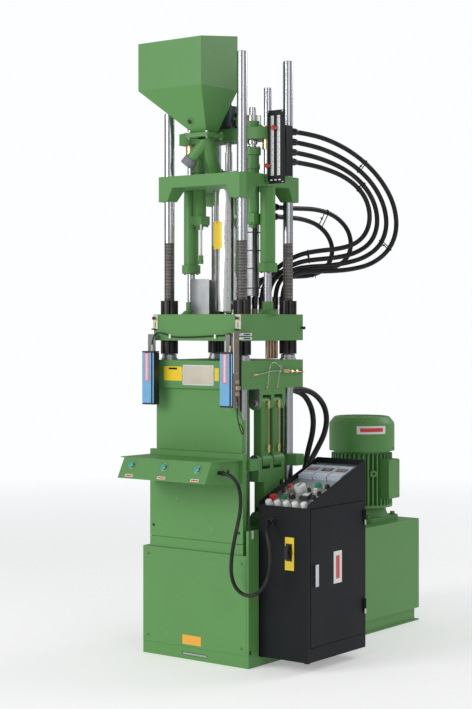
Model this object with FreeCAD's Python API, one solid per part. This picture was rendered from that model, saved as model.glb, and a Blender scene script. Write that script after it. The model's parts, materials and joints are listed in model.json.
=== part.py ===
import FreeCAD, Part
import math
import os

# Vertical plug-type injection moulding machine, millimetres, +Z up.
# Origin: on the floor, under the middle of the four tie bars. +X is the
# operator's right, +Y runs back towards the power unit.

V = FreeCAD.Vector
UP = V(0, 0, 1)

# ---------------------------------------------------------------- clearances
RUN = 0.05          # radial running clearance of a shaft in its bore
GAP = 0.3           # gap between pieces that move past each other
SIDE = 2.0          # side play of a link beside its lug

# ---------------------------------------------------------------- base and frame
BASE_W = 545.0
BASE_FRONT = 226.0
BASE_BACK = 226.0
BASE_H = 442.0
PLINTH_H = 50.0
SIDE_PLATE_H = 541.0
WALL = 12.0
FLOOR_T = 20.0
SHEET = 3.0
SCREW_D = 12.0
SCREW_HEAD = 2.5

WALL_BACK = 185.0       # front wall's rear face and rear posts' front face
FRONT_WALL_W = 410.0
UPPER_WALL_T = 13.0
LOWER_WALL_T = 32.0
POST_IN = 50.0
POST_OUT = 155.0
POST_T = 28.0
SILL_TOP = 484.0

MID_COVER_W = 480.0
MID_COVER_TOP = 842.0
UPPER_COVER_W = 442.0
COVER_NOTCH_X = 32.0
COVER_NOTCH_LOW = 973.0
COVER_NOTCH_HIGH = 1018.0
COVER_RETURN = 22.0

SHELF_TOP = 820.0
SHELF_DEPTH = 180.0
SHELF_NOSE = 40.0
SHELF_DROP = 80.0
SHELF_W = 446.0
SHELF_WING = 26.0
SHELF_END_DROP = 106.0
BUTTON_D = 26.0
BUTTON_H = 12.0
BUTTON_TRAVEL = 4.0

# ---------------------------------------------------------------- clamp
PLATEN_W = 454.0
PLATEN_D = 426.0
FIXED_BOTTOM = 1094.0
FIXED_T = 113.0
MOULD_GAP = 80.0
MOVING_T = 107.0
BAR_D = 42.0
BAR_X = 188.5
BAR_Y = 157.3
BAR_TOP = 2443.0
SHORT_BAR_TOP = 2222.0      # the bar under the hopper ends below its cone
THREAD_BOTTOM = 1450.0
THREAD_TOP = 1688.0
THREAD_DEPTH = 0.8
NUT_D = 72.0
NUT_H = 56.0
NUT_SLOTS = 8
SPRUE_D = 24.0
SHIELD_T = 2.0
SHIELD_H = 136.0

TOGGLE_X = 197.0
TOGGLE_LINK = 232.0
UPPER_PIN_Z = 1035.0
LINK_W = 50.0
LINK_T = 54.0
LINK_MID_GAP = 24.0
LUG_T = 23.0
EYE_R = 28.0
PIN_D = 30.0
LOWER_PIN_D = 24.0
CLAMP_STROKE = 100.0
SLOT_RISE = 28.0
SLOT_SIDE = 10.0
LOWER_EYE_R = 34.0

CROSS_TOP = 540.0
CROSS_T = 60.0
CROSS_W = 450.0
CROSS_NUT_D = 52.0
CROSS_WALL_GAP = 2.0
CROSS_D = 2 * (WALL_BACK - CROSS_WALL_GAP)
CROSS_NUT_H = 26.0
CYL_D = 150.0
CYL_BORE = 110.0
PISTON_ROD_D = 70.0
PISTON_T = 40.0

SENSOR_X = (-236.0, 167.0)  # left side of each housing
SENSOR_W = 62.0
SENSOR_D = 36.0
SENSOR_H = 218.0
SENSOR_OUT = 62.0       # from the platen's front to the housing's front
SENSOR_DROP = 43.0
BRACKET_W = 38.0
BRACKET_T = 6.0
BRACKET_LAP = 60.0
BRACKET_RISE = 26.0
BRACKET_FOOT = 18.0

# ---------------------------------------------------------------- injection carriage
CARRIAGE_W = 454.0
CARRIAGE_D = 400.0
CARRIAGE_TOP = 1959.0
SLAB_T = 47.0
CORNER_BOTTOM = 1858.0
CORNER_W = 62.0
CORNER_SLOPE = 26.0
CORNER_CUT = 20.0
GUIDE_X = 200.0
GUIDE_D = 32.0
GUIDE_TOP = 2313.0
SEAT_CYL_D = 62.0
SEAT_CYL_BORE = 40.0
SEAT_CYL_BOTTOM = 1566.0
GLAND_D = 78.0
GLAND_H = 36.0
SEAT_STROKE = 120.0
INJ_Y = -20.0
INJ_D = 54.0
INJ_BLOCK_RIM = 3.0     # square foot block beyond the tube
CYL_GAP = 1.0
INJ_X = GUIDE_X - SEAT_CYL_D / 2 - CYL_GAP - INJ_BLOCK_RIM - INJ_D / 2
INJ_BORE = 42.0
INJ_BOTTOM = 1762.0
INJ_HEAD_TOP = 2072.0
INJ_HEAD_D = 68.0
INJ_ROD_D = 28.0
RAM_STROKE = 100.0
RAM_BOTTOM = 2104.0
RAM_T = 49.0
RAM_HALF_W = 235.0
RAM_END_HALF_D = 38.0
RAM_SHOULDER_X = 160.0
RAM_HALF_D = 60.0
BUSH_D = 46.0
BUSH_H = 40.0
MOTOR_BODY_D = 80.0
MOTOR_BODY_H = 99.0
PORT_BACK = 100.0       # rear face of both hose port blocks
PORT_D = 40.0
UPPER_PORT_X = 232.0
UPPER_PORT_W = 52.0
UPPER_PORT_TOP = 2165.0
LOWER_PORT_X = 146.0
LOWER_PORT_W = 36.0
BARREL_D = 74.0
SCREW_SHAFT_D = 30.0
BARREL_BOTTOM = 1440.0
BAND_D = 94.0
BAND_H = 58.0
BAND_COUNT = 5
HOPPER_LEFT = -250.0
HOPPER_RIGHT = 80.0
HOPPER_FRONT = -283.0
HOPPER_REAR = -44.0
HOPPER_TOP = 2500.0
HOPPER_RISE = 30.0
HOPPER_CREASE = 2307.0
HOPPER_OUTLET_Z = 2126.0
HOPPER_OUTLET_Y = -158.0
HOPPER_OUTLET = 68.0
HOPPER_SHEET = 2.5
HOPPER_FLANGE = 22.0
FLANGE_T = 8.0
CHUTE_D = 62.0
CHUTE_FOOT_Y = -90.0
DRAIN_L = 118.0

# ---------------------------------------------------------------- control cabinet
CAB_LEFT = BASE_W / 2
CAB_W = 237.5
CAB_RIGHT = CAB_LEFT + CAB_W
CAB_FRONT = -160.0
CAB_BACK = 250.0
CAB_BOTTOM = 41.0
CAB_FRONT_H = 655.0
CAB_BACK_H = 802.0
CAB_SHEET = 3.0
ISOLATOR_IN = 147.5     # from the cabinet's left side
ISOLATOR_Z = 464.0
DOOR_TOP = 638.0
DOOR_BOTTOM = 96.0
DOOR_T = 4.0
DOOR_EDGE = 16.0
HINGE_X = CAB_RIGHT + 6.0
HINGE_Y = CAB_BACK - DOOR_EDGE + 4.0
HINGE_D = 10.0
HINGE_PIN_D = 5.0
HINGE_H = 40.0
HINGE_HEIGHTS = (200.0, 560.0)

# ---------------------------------------------------------------- power unit
TANK_HALF_W = 267.0
TANK_BACK = 1080.0
TANK_TOP = 465.0
RAIL_H = 57.0
MOTOR_X = 85.0
MOTOR_Y = 880.0
MOTOR_FLANGE = 250.0
COWL_FLATS = 296.0
COWL_TOP = 936.0
COWL_BOTTOM = 778.0
FINS_BOTTOM = 542.0
FIN_COUNT = 40
FIN_R = 138.0
CORE_R = 116.0
ADAPTER_TOP = 530.0

HOSE_D = 20.0
REAR_HOSE_D = 24.0
CONDUIT_D = 15.0

SHAPES = {}


def add(name, *solids):
    """Keep one node's solids under its name."""
    if len(solids) == 1:
        SHAPES[name] = solids[0]
    else:
        SHAPES[name] = Part.makeCompound(list(solids))


def block(x0, x1, y0, y1, z0, z1):
    return Part.makeBox(x1 - x0, y1 - y0, z1 - z0, V(x0, y0, z0))


def centred(width, depth, z0, z1, x=0.0, y=0.0):
    return block(x - width / 2, x + width / 2, y - depth / 2, y + depth / 2, z0, z1)


def post(diameter, x, y, z0, z1):
    return Part.makeCylinder(diameter / 2, z1 - z0, V(x, y, z0))


def bar_along(diameter, start, direction, length):
    return Part.makeCylinder(diameter / 2, length, V(*start), V(*direction))


def prism(points, axis, low, high):
    """Extrude a closed outline given in the plane across the axis."""
    place = {"x": lambda a, b: V(low, a, b),
             "y": lambda a, b: V(a, low, b),
             "z": lambda a, b: V(a, b, low)}[axis]
    push = {"x": V(high - low, 0, 0), "y": V(0, high - low, 0), "z": V(0, 0, high - low)}[axis]
    corners = [place(a, b) for a, b in points]
    wire = Part.makePolygon(corners + [corners[0]])
    solid = Part.Face(wire).extrude(push)
    return solid


def fuse(first, *others):
    return first.multiFuse(list(others)).removeSplitter()


def cut(first, *others):
    for other in others:
        first = first.cut(other)
    return first


def round_edges(shape, radius, axis):
    """Fillet the straight edges that run along one axis."""
    way = {"x": V(1, 0, 0), "y": V(0, 1, 0), "z": UP}[axis]
    edges = []
    for edge in shape.Edges:
        if isinstance(edge.Curve, Part.Line) and abs(edge.Curve.Direction.dot(way)) > 0.999:
            edges.append(edge)
    return shape.makeFillet(radius, edges)


def corners(x, y):
    return [(sx * x, sy * y) for sx in (-1, 1) for sy in (-1, 1)]


def loft(lower, upper):
    """Solid between two closed outlines of 3-D points."""
    wires = [Part.makePolygon([V(*p) for p in ring] + [V(*ring[0])]) for ring in (lower, upper)]
    return Part.makeLoft(wires, True, True)


def rect_ring(x0, x1, y0, y1, z):
    return [(x0, y0, z), (x1, y0, z), (x1, y1, z), (x0, y1, z)]


def hose(points, diameter, label):
    """Round tube along straight runs joined by tangent arcs."""
    pts = [V(*p) for p in points]
    runs = [(b - a).Length for a, b in zip(pts, pts[1:])]
    edges = []
    here = pts[0]
    radii = []
    for i in range(1, len(pts) - 1):
        into = (pts[i] - pts[i - 1]).normalize()
        out = (pts[i + 1] - pts[i]).normalize()
        turn = into.getAngle(out)
        reach = 0.45 * min(runs[i - 1], runs[i])
        radius = reach / math.tan(turn / 2)
        radii.append(radius)
        start = pts[i] - into * reach
        end = pts[i] + out * reach
        inward = (out - into).normalize()
        middle = pts[i] + inward * (radius / math.cos(turn / 2) - radius)
        edges.append(Part.LineSegment(here, start).toShape())
        edges.append(Part.Arc(start, middle, end).toShape())
        here = end
    edges.append(Part.LineSegment(here, pts[-1]).toShape())
    path = Part.Wire(edges)
    ring = Part.Wire(Part.makeCircle(diameter / 2, pts[0], pts[1] - pts[0]))
    tube = path.makePipeShell([ring], True, False)
    ideal = math.pi * diameter ** 2 / 4 * path.Length
    print("%s length %.0f least radius %.0f volume ratio %.4f"
          % (label, path.Length, min(radii), tube.Volume / ideal))
    return tube


# ---------------------------------------------------------------- frame
def base():
    half = BASE_W / 2
    face = BASE_FRONT - SHEET
    shell = fuse(centred(BASE_W, BASE_FRONT + BASE_BACK, 0, PLINTH_H),
                 block(-half, half, -face, BASE_BACK, PLINTH_H, BASE_H))
    inside = block(-half + WALL, half - WALL, -face + WALL, BASE_BACK - WALL,
                   FLOOR_T, BASE_H - WALL)
    window = block(-half + 3 * WALL, half - 3 * WALL, -BASE_FRONT, -face + WALL,
                   PLINTH_H + 2 * WALL, BASE_H - 2 * WALL)
    rod_hole = post(PISTON_ROD_D + 20, 0, 0, BASE_H - 2 * WALL, BASE_H + 1)
    drawer_slot = block(-62, 62, -BASE_FRONT - 1, -BASE_FRONT + 6, 16, 28)
    side_plate = block(half - WALL, half, -BASE_FRONT, BASE_BACK, PLINTH_H, SIDE_PLATE_H)
    add("base_frame", fuse(cut(shell, inside, window, rod_hole, drawer_slot), side_plate))
    cover = block(-half, half - WALL - GAP, -BASE_FRONT, -face, PLINTH_H, BASE_H)
    heads = []
    for x in (-half + 28, half - 22 - WALL):
        for z in (PLINTH_H + 26, BASE_H - 32):
            heads.append((x, -BASE_FRONT, z))
    for x in (-MID_COVER_W / 2 + 20, MID_COVER_W / 2 - 20):
        heads.append((x, -WALL_BACK - LOWER_WALL_T - SHEET, SILL_TOP + 45))
    screws = []
    for x, y, z in heads:
        screws.append(bar_along(SCREW_D, (x, y, z), (0, -1, 0), SCREW_HEAD))
    add("base_front_cover", cover)
    add("cover_screws", *screws)


def uprights():
    lower = centred(FRONT_WALL_W, LOWER_WALL_T, SILL_TOP, MID_COVER_TOP - 4,
                    y=-WALL_BACK - LOWER_WALL_T / 2)
    upper = centred(FRONT_WALL_W, UPPER_WALL_T, MID_COVER_TOP - 4, FIXED_BOTTOM,
                    y=-WALL_BACK - UPPER_WALL_T / 2)
    sill = centred(MID_COVER_W, LOWER_WALL_T + SHEET, BASE_H, SILL_TOP,
                   y=-WALL_BACK - (LOWER_WALL_T + SHEET) / 2)
    front = fuse(lower, upper, sill)
    posts = []
    for side in (-1, 1):
        mid = side * (POST_IN + POST_OUT) / 2
        posts.append(block(mid - (POST_OUT - POST_IN) / 2, mid + (POST_OUT - POST_IN) / 2,
                           WALL_BACK, WALL_BACK + POST_T, BASE_H, FIXED_BOTTOM))
    guides = []
    for x, y in corners(BAR_X, BAR_Y):
        side = math.copysign(1, x)
        out = side * (BAR_X + 62)
        inner = side * (POST_OUT - 30 if y > 0 else BAR_X - 28)
        near = math.copysign(WALL_BACK, y)
        far = math.copysign(BAR_Y - 28, y)
        guide = block(min(inner, out), max(inner, out), min(near, far), max(near, far), 772, 818)
        guides.append(cut(guide, post(BAR_D + 2 * RUN, x, y, 760, 830)))
    add("frame_uprights", front, *posts, *guides)


def covers():
    y_mid = -WALL_BACK - LOWER_WALL_T
    half = MID_COVER_W / 2
    sheet = block(-half, half, y_mid - SHEET, y_mid, SILL_TOP + 2, MID_COVER_TOP)
    sides = [block(s * half - (SHEET if s > 0 else 0), s * half + (0 if s > 0 else SHEET),
                   y_mid, y_mid + COVER_RETURN, SILL_TOP + 2, MID_COVER_TOP) for s in (-1, 1)]
    top = block(-half, half, y_mid, y_mid + LOWER_WALL_T - UPPER_WALL_T - SHEET,
                MID_COVER_TOP - SHEET, MID_COVER_TOP)
    add("lower_front_cover", fuse(sheet, top, *sides))
    y_up = -WALL_BACK - UPPER_WALL_T
    half = UPPER_COVER_W / 2
    low = MID_COVER_TOP
    outline = [(-half, low), (half, low), (half, COVER_NOTCH_LOW),
               (half - COVER_NOTCH_X, COVER_NOTCH_HIGH), (half - COVER_NOTCH_X, FIXED_BOTTOM),
               (-half, FIXED_BOTTOM)]
    sheet = prism(outline, "y", y_up - SHEET, y_up)
    right = block(half - SHEET, half, y_up, y_up + COVER_RETURN, low, COVER_NOTCH_LOW)
    left = block(-half, -half + SHEET, y_up, y_up + COVER_RETURN, low, FIXED_BOTTOM)
    add("upper_front_cover", fuse(sheet, right, left))


def shelf():
    back = -WALL_BACK - LOWER_WALL_T - SHEET
    front = back - SHELF_DEPTH
    nose = front - SHELF_NOSE
    half = SHELF_W / 2
    low = SHELF_TOP - SHELF_DROP
    end_low = SHELF_TOP - SHELF_END_DROP
    plan = [(-half - SHELF_WING, front + 8), (-half, front), (half, front),
            (half + 18, back), (-half - 18, back)]
    top = prism(plan, "z", SHELF_TOP - SHEET, SHELF_TOP)
    side = [(back, SHELF_TOP - SHEET), (front, SHELF_TOP - SHEET), (nose, low), (back, end_low)]
    ends = [prism(side, "x", s * half - (SHEET if s > 0 else 0),
                  s * half + (0 if s > 0 else SHEET)) for s in (-1, 1)]
    tilt = math.hypot(SHELF_NOSE, SHELF_DROP - SHEET)
    inward = (SHEET * (SHELF_DROP - SHEET) / tilt, -SHEET * SHELF_NOSE / tilt)
    panel = prism([(front, SHELF_TOP - SHEET), (nose, low),
                   (nose + inward[0], low + inward[1]),
                   (front + SHEET * tilt / (SHELF_DROP - SHEET), SHELF_TOP - SHEET)],
                  "x", -half, half)
    body = fuse(top, panel, *ends)
    normal = V(0, -(SHELF_DROP - SHEET) / tilt, SHELF_NOSE / tilt)
    centre_y = (front + nose) / 2
    centre_z = (SHELF_TOP - SHEET + low) / 2 + 12
    centre_y += 12 * SHELF_NOSE / (SHELF_DROP - SHEET)
    buttons = []
    for x in (-168.0, 0.0, 168.0):
        face = V(x, centre_y, centre_z)
        hole = Part.makeCylinder(BUTTON_D / 2 - 6, 30, face - normal * 20, normal)
        body = body.cut(hole)
        stem = Part.makeCylinder(BUTTON_D / 2 - 6 - GAP, 16, face - normal * 14, normal)
        rim = face + normal * (BUTTON_TRAVEL + GAP)
        cap = Part.makeCylinder(BUTTON_D / 2, BUTTON_H - BUTTON_TRAVEL, rim, normal)
        neck = Part.makeCylinder(BUTTON_D / 2 - 6 - GAP, BUTTON_TRAVEL + 2 * GAP, face, normal)
        buttons.append(fuse(stem, neck, cap))
    add("operator_shelf", body)
    for name, solid in zip(("shelf_button_left", "shelf_button_middle", "shelf_button_right"),
                           buttons):
        add(name, solid)
    print("shelf button normal", normal, "centre", centre_y, centre_z)


# ---------------------------------------------------------------- toggle and platens
def lug_span():
    return LINK_MID_GAP / 2 + LINK_T + LUG_T


def fixed_platen():
    plate = round_edges(centred(PLATEN_W, PLATEN_D, FIXED_BOTTOM, FIXED_BOTTOM + FIXED_T), 4, "z")
    span = lug_span()
    lugs = []
    for side in (-1, 1):
        x = side * TOGGLE_X
        body = block(x - EYE_R, x + EYE_R, -span, span, UPPER_PIN_Z, FIXED_BOTTOM)
        nose = bar_along(2 * EYE_R, (x, -span, UPPER_PIN_Z), (0, 1, 0), 2 * span)
        lugs += [body, nose]
    plate = fuse(plate, *lugs)
    for side in (-1, 1):
        x = side * TOGGLE_X
        for y0 in (LINK_MID_GAP / 2, -LINK_MID_GAP / 2 - LINK_T):
            slot = block(x - EYE_R - 1, x + EYE_R + 1, y0 - SIDE, y0 + LINK_T + SIDE,
                         UPPER_PIN_Z - EYE_R - 2, UPPER_PIN_Z + EYE_R + 6)
            plate = plate.cut(slot)
        plate = plate.cut(bar_along(PIN_D, (x, -span - 1, UPPER_PIN_Z), (0, 1, 0), 2 * span + 2))
    for x, y in corners(BAR_X, BAR_Y):
        plate = plate.cut(post(BAR_D + 2 * RUN, x, y, FIXED_BOTTOM - 1, FIXED_BOTTOM + FIXED_T + 1))
    pins = [bar_along(PIN_D, (s * TOGGLE_X, -span - 6, UPPER_PIN_Z), (0, 1, 0), 2 * span + 12)
            for s in (-1, 1)]
    add("fixed_platen", plate, *pins)


def link_bars(x, top, bottom, eye_top, eye_bottom, bore_top, bore_bottom):
    """Two parallel link bars with an eye at each end."""
    bars = []
    for y0 in (LINK_MID_GAP / 2, -LINK_MID_GAP / 2 - LINK_T):
        shank = block(x - LINK_W / 2 + 3, x + LINK_W / 2 - 3, y0, y0 + LINK_T, bottom, top)
        shank = round_edges(shank, 6, "z")
        upper = bar_along(2 * eye_top, (x, y0, top), (0, 1, 0), LINK_T)
        lower = bar_along(2 * eye_bottom, (x, y0, bottom), (0, 1, 0), LINK_T)
        bar = fuse(shank, upper, lower)
        bar = cut(bar, bar_along(bore_top, (x, y0 - 1, top), (0, 1, 0), LINK_T + 2),
                  bar_along(bore_bottom, (x, y0 - 1, bottom), (0, 1, 0), LINK_T + 2))
        bars.append(bar)
    return bars


def toggles():
    knee_z = UPPER_PIN_Z - TOGGLE_LINK
    low_z = knee_z - TOGGLE_LINK
    span = lug_span()
    for side, word in ((-1, "left"), (1, "right")):
        x = side * TOGGLE_X
        bore = PIN_D + 2 * RUN
        add("upper_link_" + word, *link_bars(x, UPPER_PIN_Z, knee_z, EYE_R - GAP, EYE_R, bore, bore))
        prongs = []
        for y0, y1 in ((-span, -LINK_MID_GAP / 2 - LINK_T - SIDE),
                       (-LINK_MID_GAP / 2 + SIDE, LINK_MID_GAP / 2 - SIDE),
                       (LINK_MID_GAP / 2 + LINK_T + SIDE, span)):
            prongs.append(block(x - LINK_W / 2, x + LINK_W / 2, y0, y1, knee_z - 60, knee_z))
            prongs.append(bar_along(LINK_W, (x, y0, knee_z), (0, 1, 0), y1 - y0))
        bridge = block(x - LINK_W / 2, x + LINK_W / 2, -span, span, knee_z - 84, knee_z - EYE_R - 6)
        shank = block(x - LINK_W / 2, x + LINK_W / 2, -LINK_T, LINK_T, low_z, knee_z - 60)
        foot = bar_along(2 * LOWER_EYE_R, (x, -LINK_T, low_z), (0, 1, 0), 2 * LINK_T)
        link = fuse(shank, bridge, foot, *prongs)
        for y0 in (LINK_MID_GAP / 2, -LINK_MID_GAP / 2 - LINK_T):
            link = link.cut(bar_along(2 * EYE_R + 6, (x, y0 - SIDE, knee_z), (0, 1, 0),
                                      LINK_T + 2 * SIDE))
        # The lower eye is a slot: the chain is opened at this pivot.
        half = LOWER_PIN_D / 2
        slot = block(x - half - SLOT_SIDE, x + half + SLOT_SIDE, -LINK_T - 1, LINK_T + 1,
                     low_z - half - 1, low_z + half + SLOT_RISE)
        link = link.cut(slot)
        link = link.cut(bar_along(PIN_D, (x, -span - 1, knee_z), (0, 1, 0), 2 * span + 2))
        knee_pin = bar_along(PIN_D, (x, -span - 5, knee_z), (0, 1, 0), 2 * span + 10)
        add("lower_link_" + word, link, knee_pin)


def crosshead():
    low_z = UPPER_PIN_Z - 2 * TOGGLE_LINK
    bottom = CROSS_TOP - CROSS_T
    plate = centred(CROSS_W, CROSS_D, bottom, CROSS_TOP)
    cheeks = []
    cheek_in = LINK_T + SIDE
    cheek_t = 24.0
    for side in (-1, 1):
        x = side * TOGGLE_X
        for s in (-1, 1):
            y0, y1 = sorted((s * cheek_in, s * (cheek_in + cheek_t)))
            cheeks.append(block(x - EYE_R, x + EYE_R, y0, y1, CROSS_TOP - 10, low_z))
            cheeks.append(bar_along(2 * EYE_R, (x, y0, low_z), (0, 1, 0), cheek_t))
    body = fuse(plate, *cheeks)
    for side in (-1, 1):
        x = side * TOGGLE_X
        pocket = block(min(x - side * 50, side * CROSS_W), max(x - side * 50, side * CROSS_W),
                       -cheek_in, cheek_in, bottom - 1, CROSS_TOP + 1)
        body = body.cut(pocket)
        body = body.cut(bar_along(LOWER_PIN_D, (x, -cheek_in - 60, low_z), (0, 1, 0),
                                  2 * cheek_in + 120))
    for x, y in corners(BAR_X, BAR_Y):
        body = body.cut(post(BAR_D, x, y, bottom - 1, CROSS_TOP + 1))
    reach = cheek_in + cheek_t + 4
    pins = [bar_along(LOWER_PIN_D, (s * TOGGLE_X, -reach, low_z), (0, 1, 0), 2 * reach)
            for s in (-1, 1)]
    add("toggle_crosshead", body, *pins)


def clamp_cylinder():
    top = BASE_H - WALL
    outer = post(CYL_D, 0, 0, FLOOR_T, top)
    foot = centred(CYL_D + 60, CYL_D + 60, FLOOR_T, FLOOR_T + 20)
    bore = post(CYL_BORE, 0, 0, FLOOR_T + 30, top - 50)
    gland = post(PISTON_ROD_D + 2 * RUN, 0, 0, top - 51, top + 1)
    add("clamp_cylinder", cut(fuse(outer, foot), bore, gland))
    piston_low = FLOOR_T + 60
    rod = post(PISTON_ROD_D, 0, 0, piston_low, CROSS_TOP - CROSS_T)
    piston = post(CYL_BORE - 2 * RUN, 0, 0, piston_low, piston_low + PISTON_T)
    add("clamp_piston_rod", fuse(rod, piston))


def moving_platen():
    low = FIXED_BOTTOM + FIXED_T + MOULD_GAP
    top = low + MOVING_T
    plate = round_edges(centred(PLATEN_W, PLATEN_D, low, top), 4, "z")
    sockets = []
    for s in (-1, 1):
        x = s * GUIDE_X
        sockets.append(Part.makeCone(45, 28, 16, V(x, 0, top)))
        sockets.append(post(44, x, 0, top, top + 52))
    plate = fuse(plate, *sockets)
    for x, y in corners(BAR_X, BAR_Y):
        plate = plate.cut(post(BAR_D, x, y, low - 1, top + 1))
    for s in (-1, 1):
        plate = plate.cut(post(GUIDE_D, s * GUIDE_X, 0, top - 40, top + 60))
    sprue = post(SPRUE_D, 0, 0, low - 1, top + 1)
    seat = Part.makeCone(SPRUE_D / 2, 40, 30, V(0, 0, top - 29))
    add("moving_platen", cut(plate, sprue, seat))
    bars = []
    for x, y in corners(BAR_X, BAR_Y):
        end = SHORT_BAR_TOP if x < 0 and y < 0 else BAR_TOP
        bar = post(BAR_D, x, y, CROSS_TOP - CROSS_T - CROSS_NUT_H - 4, end)
        groove = post(BAR_D + 10, x, y, THREAD_BOTTOM, THREAD_TOP)
        groove = groove.cut(post(BAR_D - 2 * THREAD_DEPTH, x, y, THREAD_BOTTOM, THREAD_TOP))
        bars.append(bar.cut(groove))
    add("tie_bars", *bars)
    nuts = []
    for x, y in corners(BAR_X, BAR_Y):
        for z in (top, low - NUT_H):
            nut = post(NUT_D, x, y, z, z + NUT_H)
            for k in range(NUT_SLOTS):
                a = 2 * math.pi * k / NUT_SLOTS
                reach = NUT_D / 2
                nut = nut.cut(centred(8, 8, z - 1, z + NUT_H + 1,
                                      x + reach * math.cos(a), y + reach * math.sin(a)))
            nuts.append(nut.cut(post(BAR_D, x, y, z - 1, z + NUT_H + 1)))
        z = CROSS_TOP - CROSS_T - CROSS_NUT_H
        nut = post(CROSS_NUT_D, x, y, z, z + CROSS_NUT_H)
        nuts.append(nut.cut(post(BAR_D, x, y, z - 1, z + CROSS_NUT_H + 1)))
    add("tie_bar_nuts", *nuts)
    guides = []
    piston_z = SEAT_CYL_BOTTOM + GLAND_H + SEAT_STROKE + 16
    for s in (-1, 1):
        rod = post(GUIDE_D, s * GUIDE_X, 0, top - 40, GUIDE_TOP)
        ring = post(SEAT_CYL_BORE - 2 * RUN, s * GUIDE_X, 0, piston_z, piston_z + 30)
        guides.append(fuse(rod, ring))
    add("guide_rods", *guides)
    # Folded steel purge shield that stands round the nozzle's left side.
    wall = SHIELD_T
    high = top + SHIELD_H
    shield = fuse(block(-122, -60, -64, -64 + wall, top, high),
                  block(-122, -122 + wall, -64, 64, top, high),
                  block(-122, -60, 64 - wall, 64, top, high),
                  block(-150, -122, -64, 64, top, top + wall))
    add("purge_shield", shield)


def light_sensors():
    low = FIXED_BOTTOM + FIXED_T + MOULD_GAP
    front = -PLATEN_D / 2
    solids = []
    for x in SENSOR_X:
        y0 = front - SENSOR_OUT
        y1 = y0 + SENSOR_D
        high = low - SENSOR_DROP
        solids.append(block(x, x + SENSOR_W, y0, y1, high - SENSOR_H, high))
        solids.append(block(x, x + BRACKET_W, y1, y1 + BRACKET_T, high - BRACKET_LAP, low + BRACKET_RISE))
        solids.append(block(x, x + BRACKET_W, y1 + BRACKET_T, front,
                            low + BRACKET_RISE - BRACKET_FOOT, low + BRACKET_RISE))
    add("light_sensors", *solids)


# ---------------------------------------------------------------- injection unit
def carriage():
    half_w = CARRIAGE_W / 2
    half_d = CARRIAGE_D / 2
    c = CORNER_CUT
    plan = [(-half_w + c, -half_d), (half_w - c, -half_d), (half_w, -half_d + c),
            (half_w, half_d - c), (half_w - c, half_d), (-half_w + c, half_d),
            (-half_w, half_d - c), (-half_w, -half_d + c)]
    slab = prism(plan, "z", CORNER_BOTTOM, CARRIAGE_TOP)
    low = CARRIAGE_TOP - SLAB_T
    hollow_x = prism([(-half_w + CORNER_W, CORNER_BOTTOM - 1),
                      (-half_w + CORNER_W + CORNER_SLOPE, low),
                      (half_w - CORNER_W - CORNER_SLOPE, low),
                      (half_w - CORNER_W, CORNER_BOTTOM - 1)], "y", -half_d - 1, half_d + 1)
    hollow_y = prism([(-half_d + CORNER_W, CORNER_BOTTOM - 1),
                      (-half_d + CORNER_W + CORNER_SLOPE, low),
                      (half_d - CORNER_W - CORNER_SLOPE, low),
                      (half_d - CORNER_W, CORNER_BOTTOM - 1)], "x", -half_w - 1, half_w + 1)
    body = cut(slab, hollow_x, hollow_y)
    for x, y in corners(BAR_X, BAR_Y):
        body = body.cut(post(BAR_D + 2 * RUN, x, y, CORNER_BOTTOM - 1, CARRIAGE_TOP + 1))
    for s in (-1, 1):
        body = body.cut(post(GUIDE_D + 2 * RUN, s * GUIDE_X, 0, low - 1, CARRIAGE_TOP + 1))
        body = body.cut(post(INJ_D, s * INJ_X, INJ_Y, low - 1, CARRIAGE_TOP + 1))
    body = body.cut(post(BARREL_D, 0, 0, low - 1, CARRIAGE_TOP + 1))
    throat = bar_along(30, (0, CHUTE_FOOT_Y, low + 22), (0, 1, 0), -CHUTE_FOOT_Y)
    drop = post(30, 0, CHUTE_FOOT_Y, low + 22, CARRIAGE_TOP + 1)
    bracket = block(half_w - 6, RAM_HALF_W + 3, -54, -34, low + 4, CARRIAGE_TOP - 4)
    lower_port = centred(LOWER_PORT_W, PORT_D, INJ_BOTTOM + 6, low, LOWER_PORT_X, PORT_BACK - PORT_D / 2)
    upper_port = centred(UPPER_PORT_W, PORT_D + 5, CARRIAGE_TOP, UPPER_PORT_TOP,
                         UPPER_PORT_X - 6, PORT_BACK - (PORT_D + 5) / 2)
    add("injection_carriage", fuse(cut(body, throat, drop), bracket), lower_port, upper_port)
    tubes = []
    for s in (-1, 1):
        x = s * GUIDE_X
        tube = fuse(post(SEAT_CYL_D, x, 0, SEAT_CYL_BOTTOM, low),
                    post(GLAND_D, x, 0, SEAT_CYL_BOTTOM, SEAT_CYL_BOTTOM + GLAND_H))
        tube = cut(tube, post(SEAT_CYL_BORE, x, 0, SEAT_CYL_BOTTOM + GLAND_H, low + 1),
                   post(GUIDE_D + 2 * RUN, x, 0, SEAT_CYL_BOTTOM - 1, low))
        tubes.append(tube)
    add("seat_cylinders", *tubes)
    cylinders = []
    for s in (-1, 1):
        x = s * INJ_X
        tube = fuse(post(INJ_D, x, INJ_Y, INJ_BOTTOM, INJ_HEAD_TOP),
                    centred(INJ_D + 2 * INJ_BLOCK_RIM, INJ_D + 2 * INJ_BLOCK_RIM, INJ_BOTTOM + 6, INJ_BOTTOM + 42, x, INJ_Y),
                    post(INJ_HEAD_D, x, INJ_Y, INJ_HEAD_TOP - 29, INJ_HEAD_TOP),
                    post(30, x, INJ_Y, INJ_BOTTOM - 14, INJ_BOTTOM))
        tube = cut(tube, post(INJ_BORE, x, INJ_Y, INJ_BOTTOM + 42, INJ_HEAD_TOP - 29),
                   post(INJ_ROD_D + 2 * RUN, x, INJ_Y, INJ_HEAD_TOP - 30, INJ_HEAD_TOP + 1))
        cylinders.append(tube)
    add("injection_cylinders", *cylinders)


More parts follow.
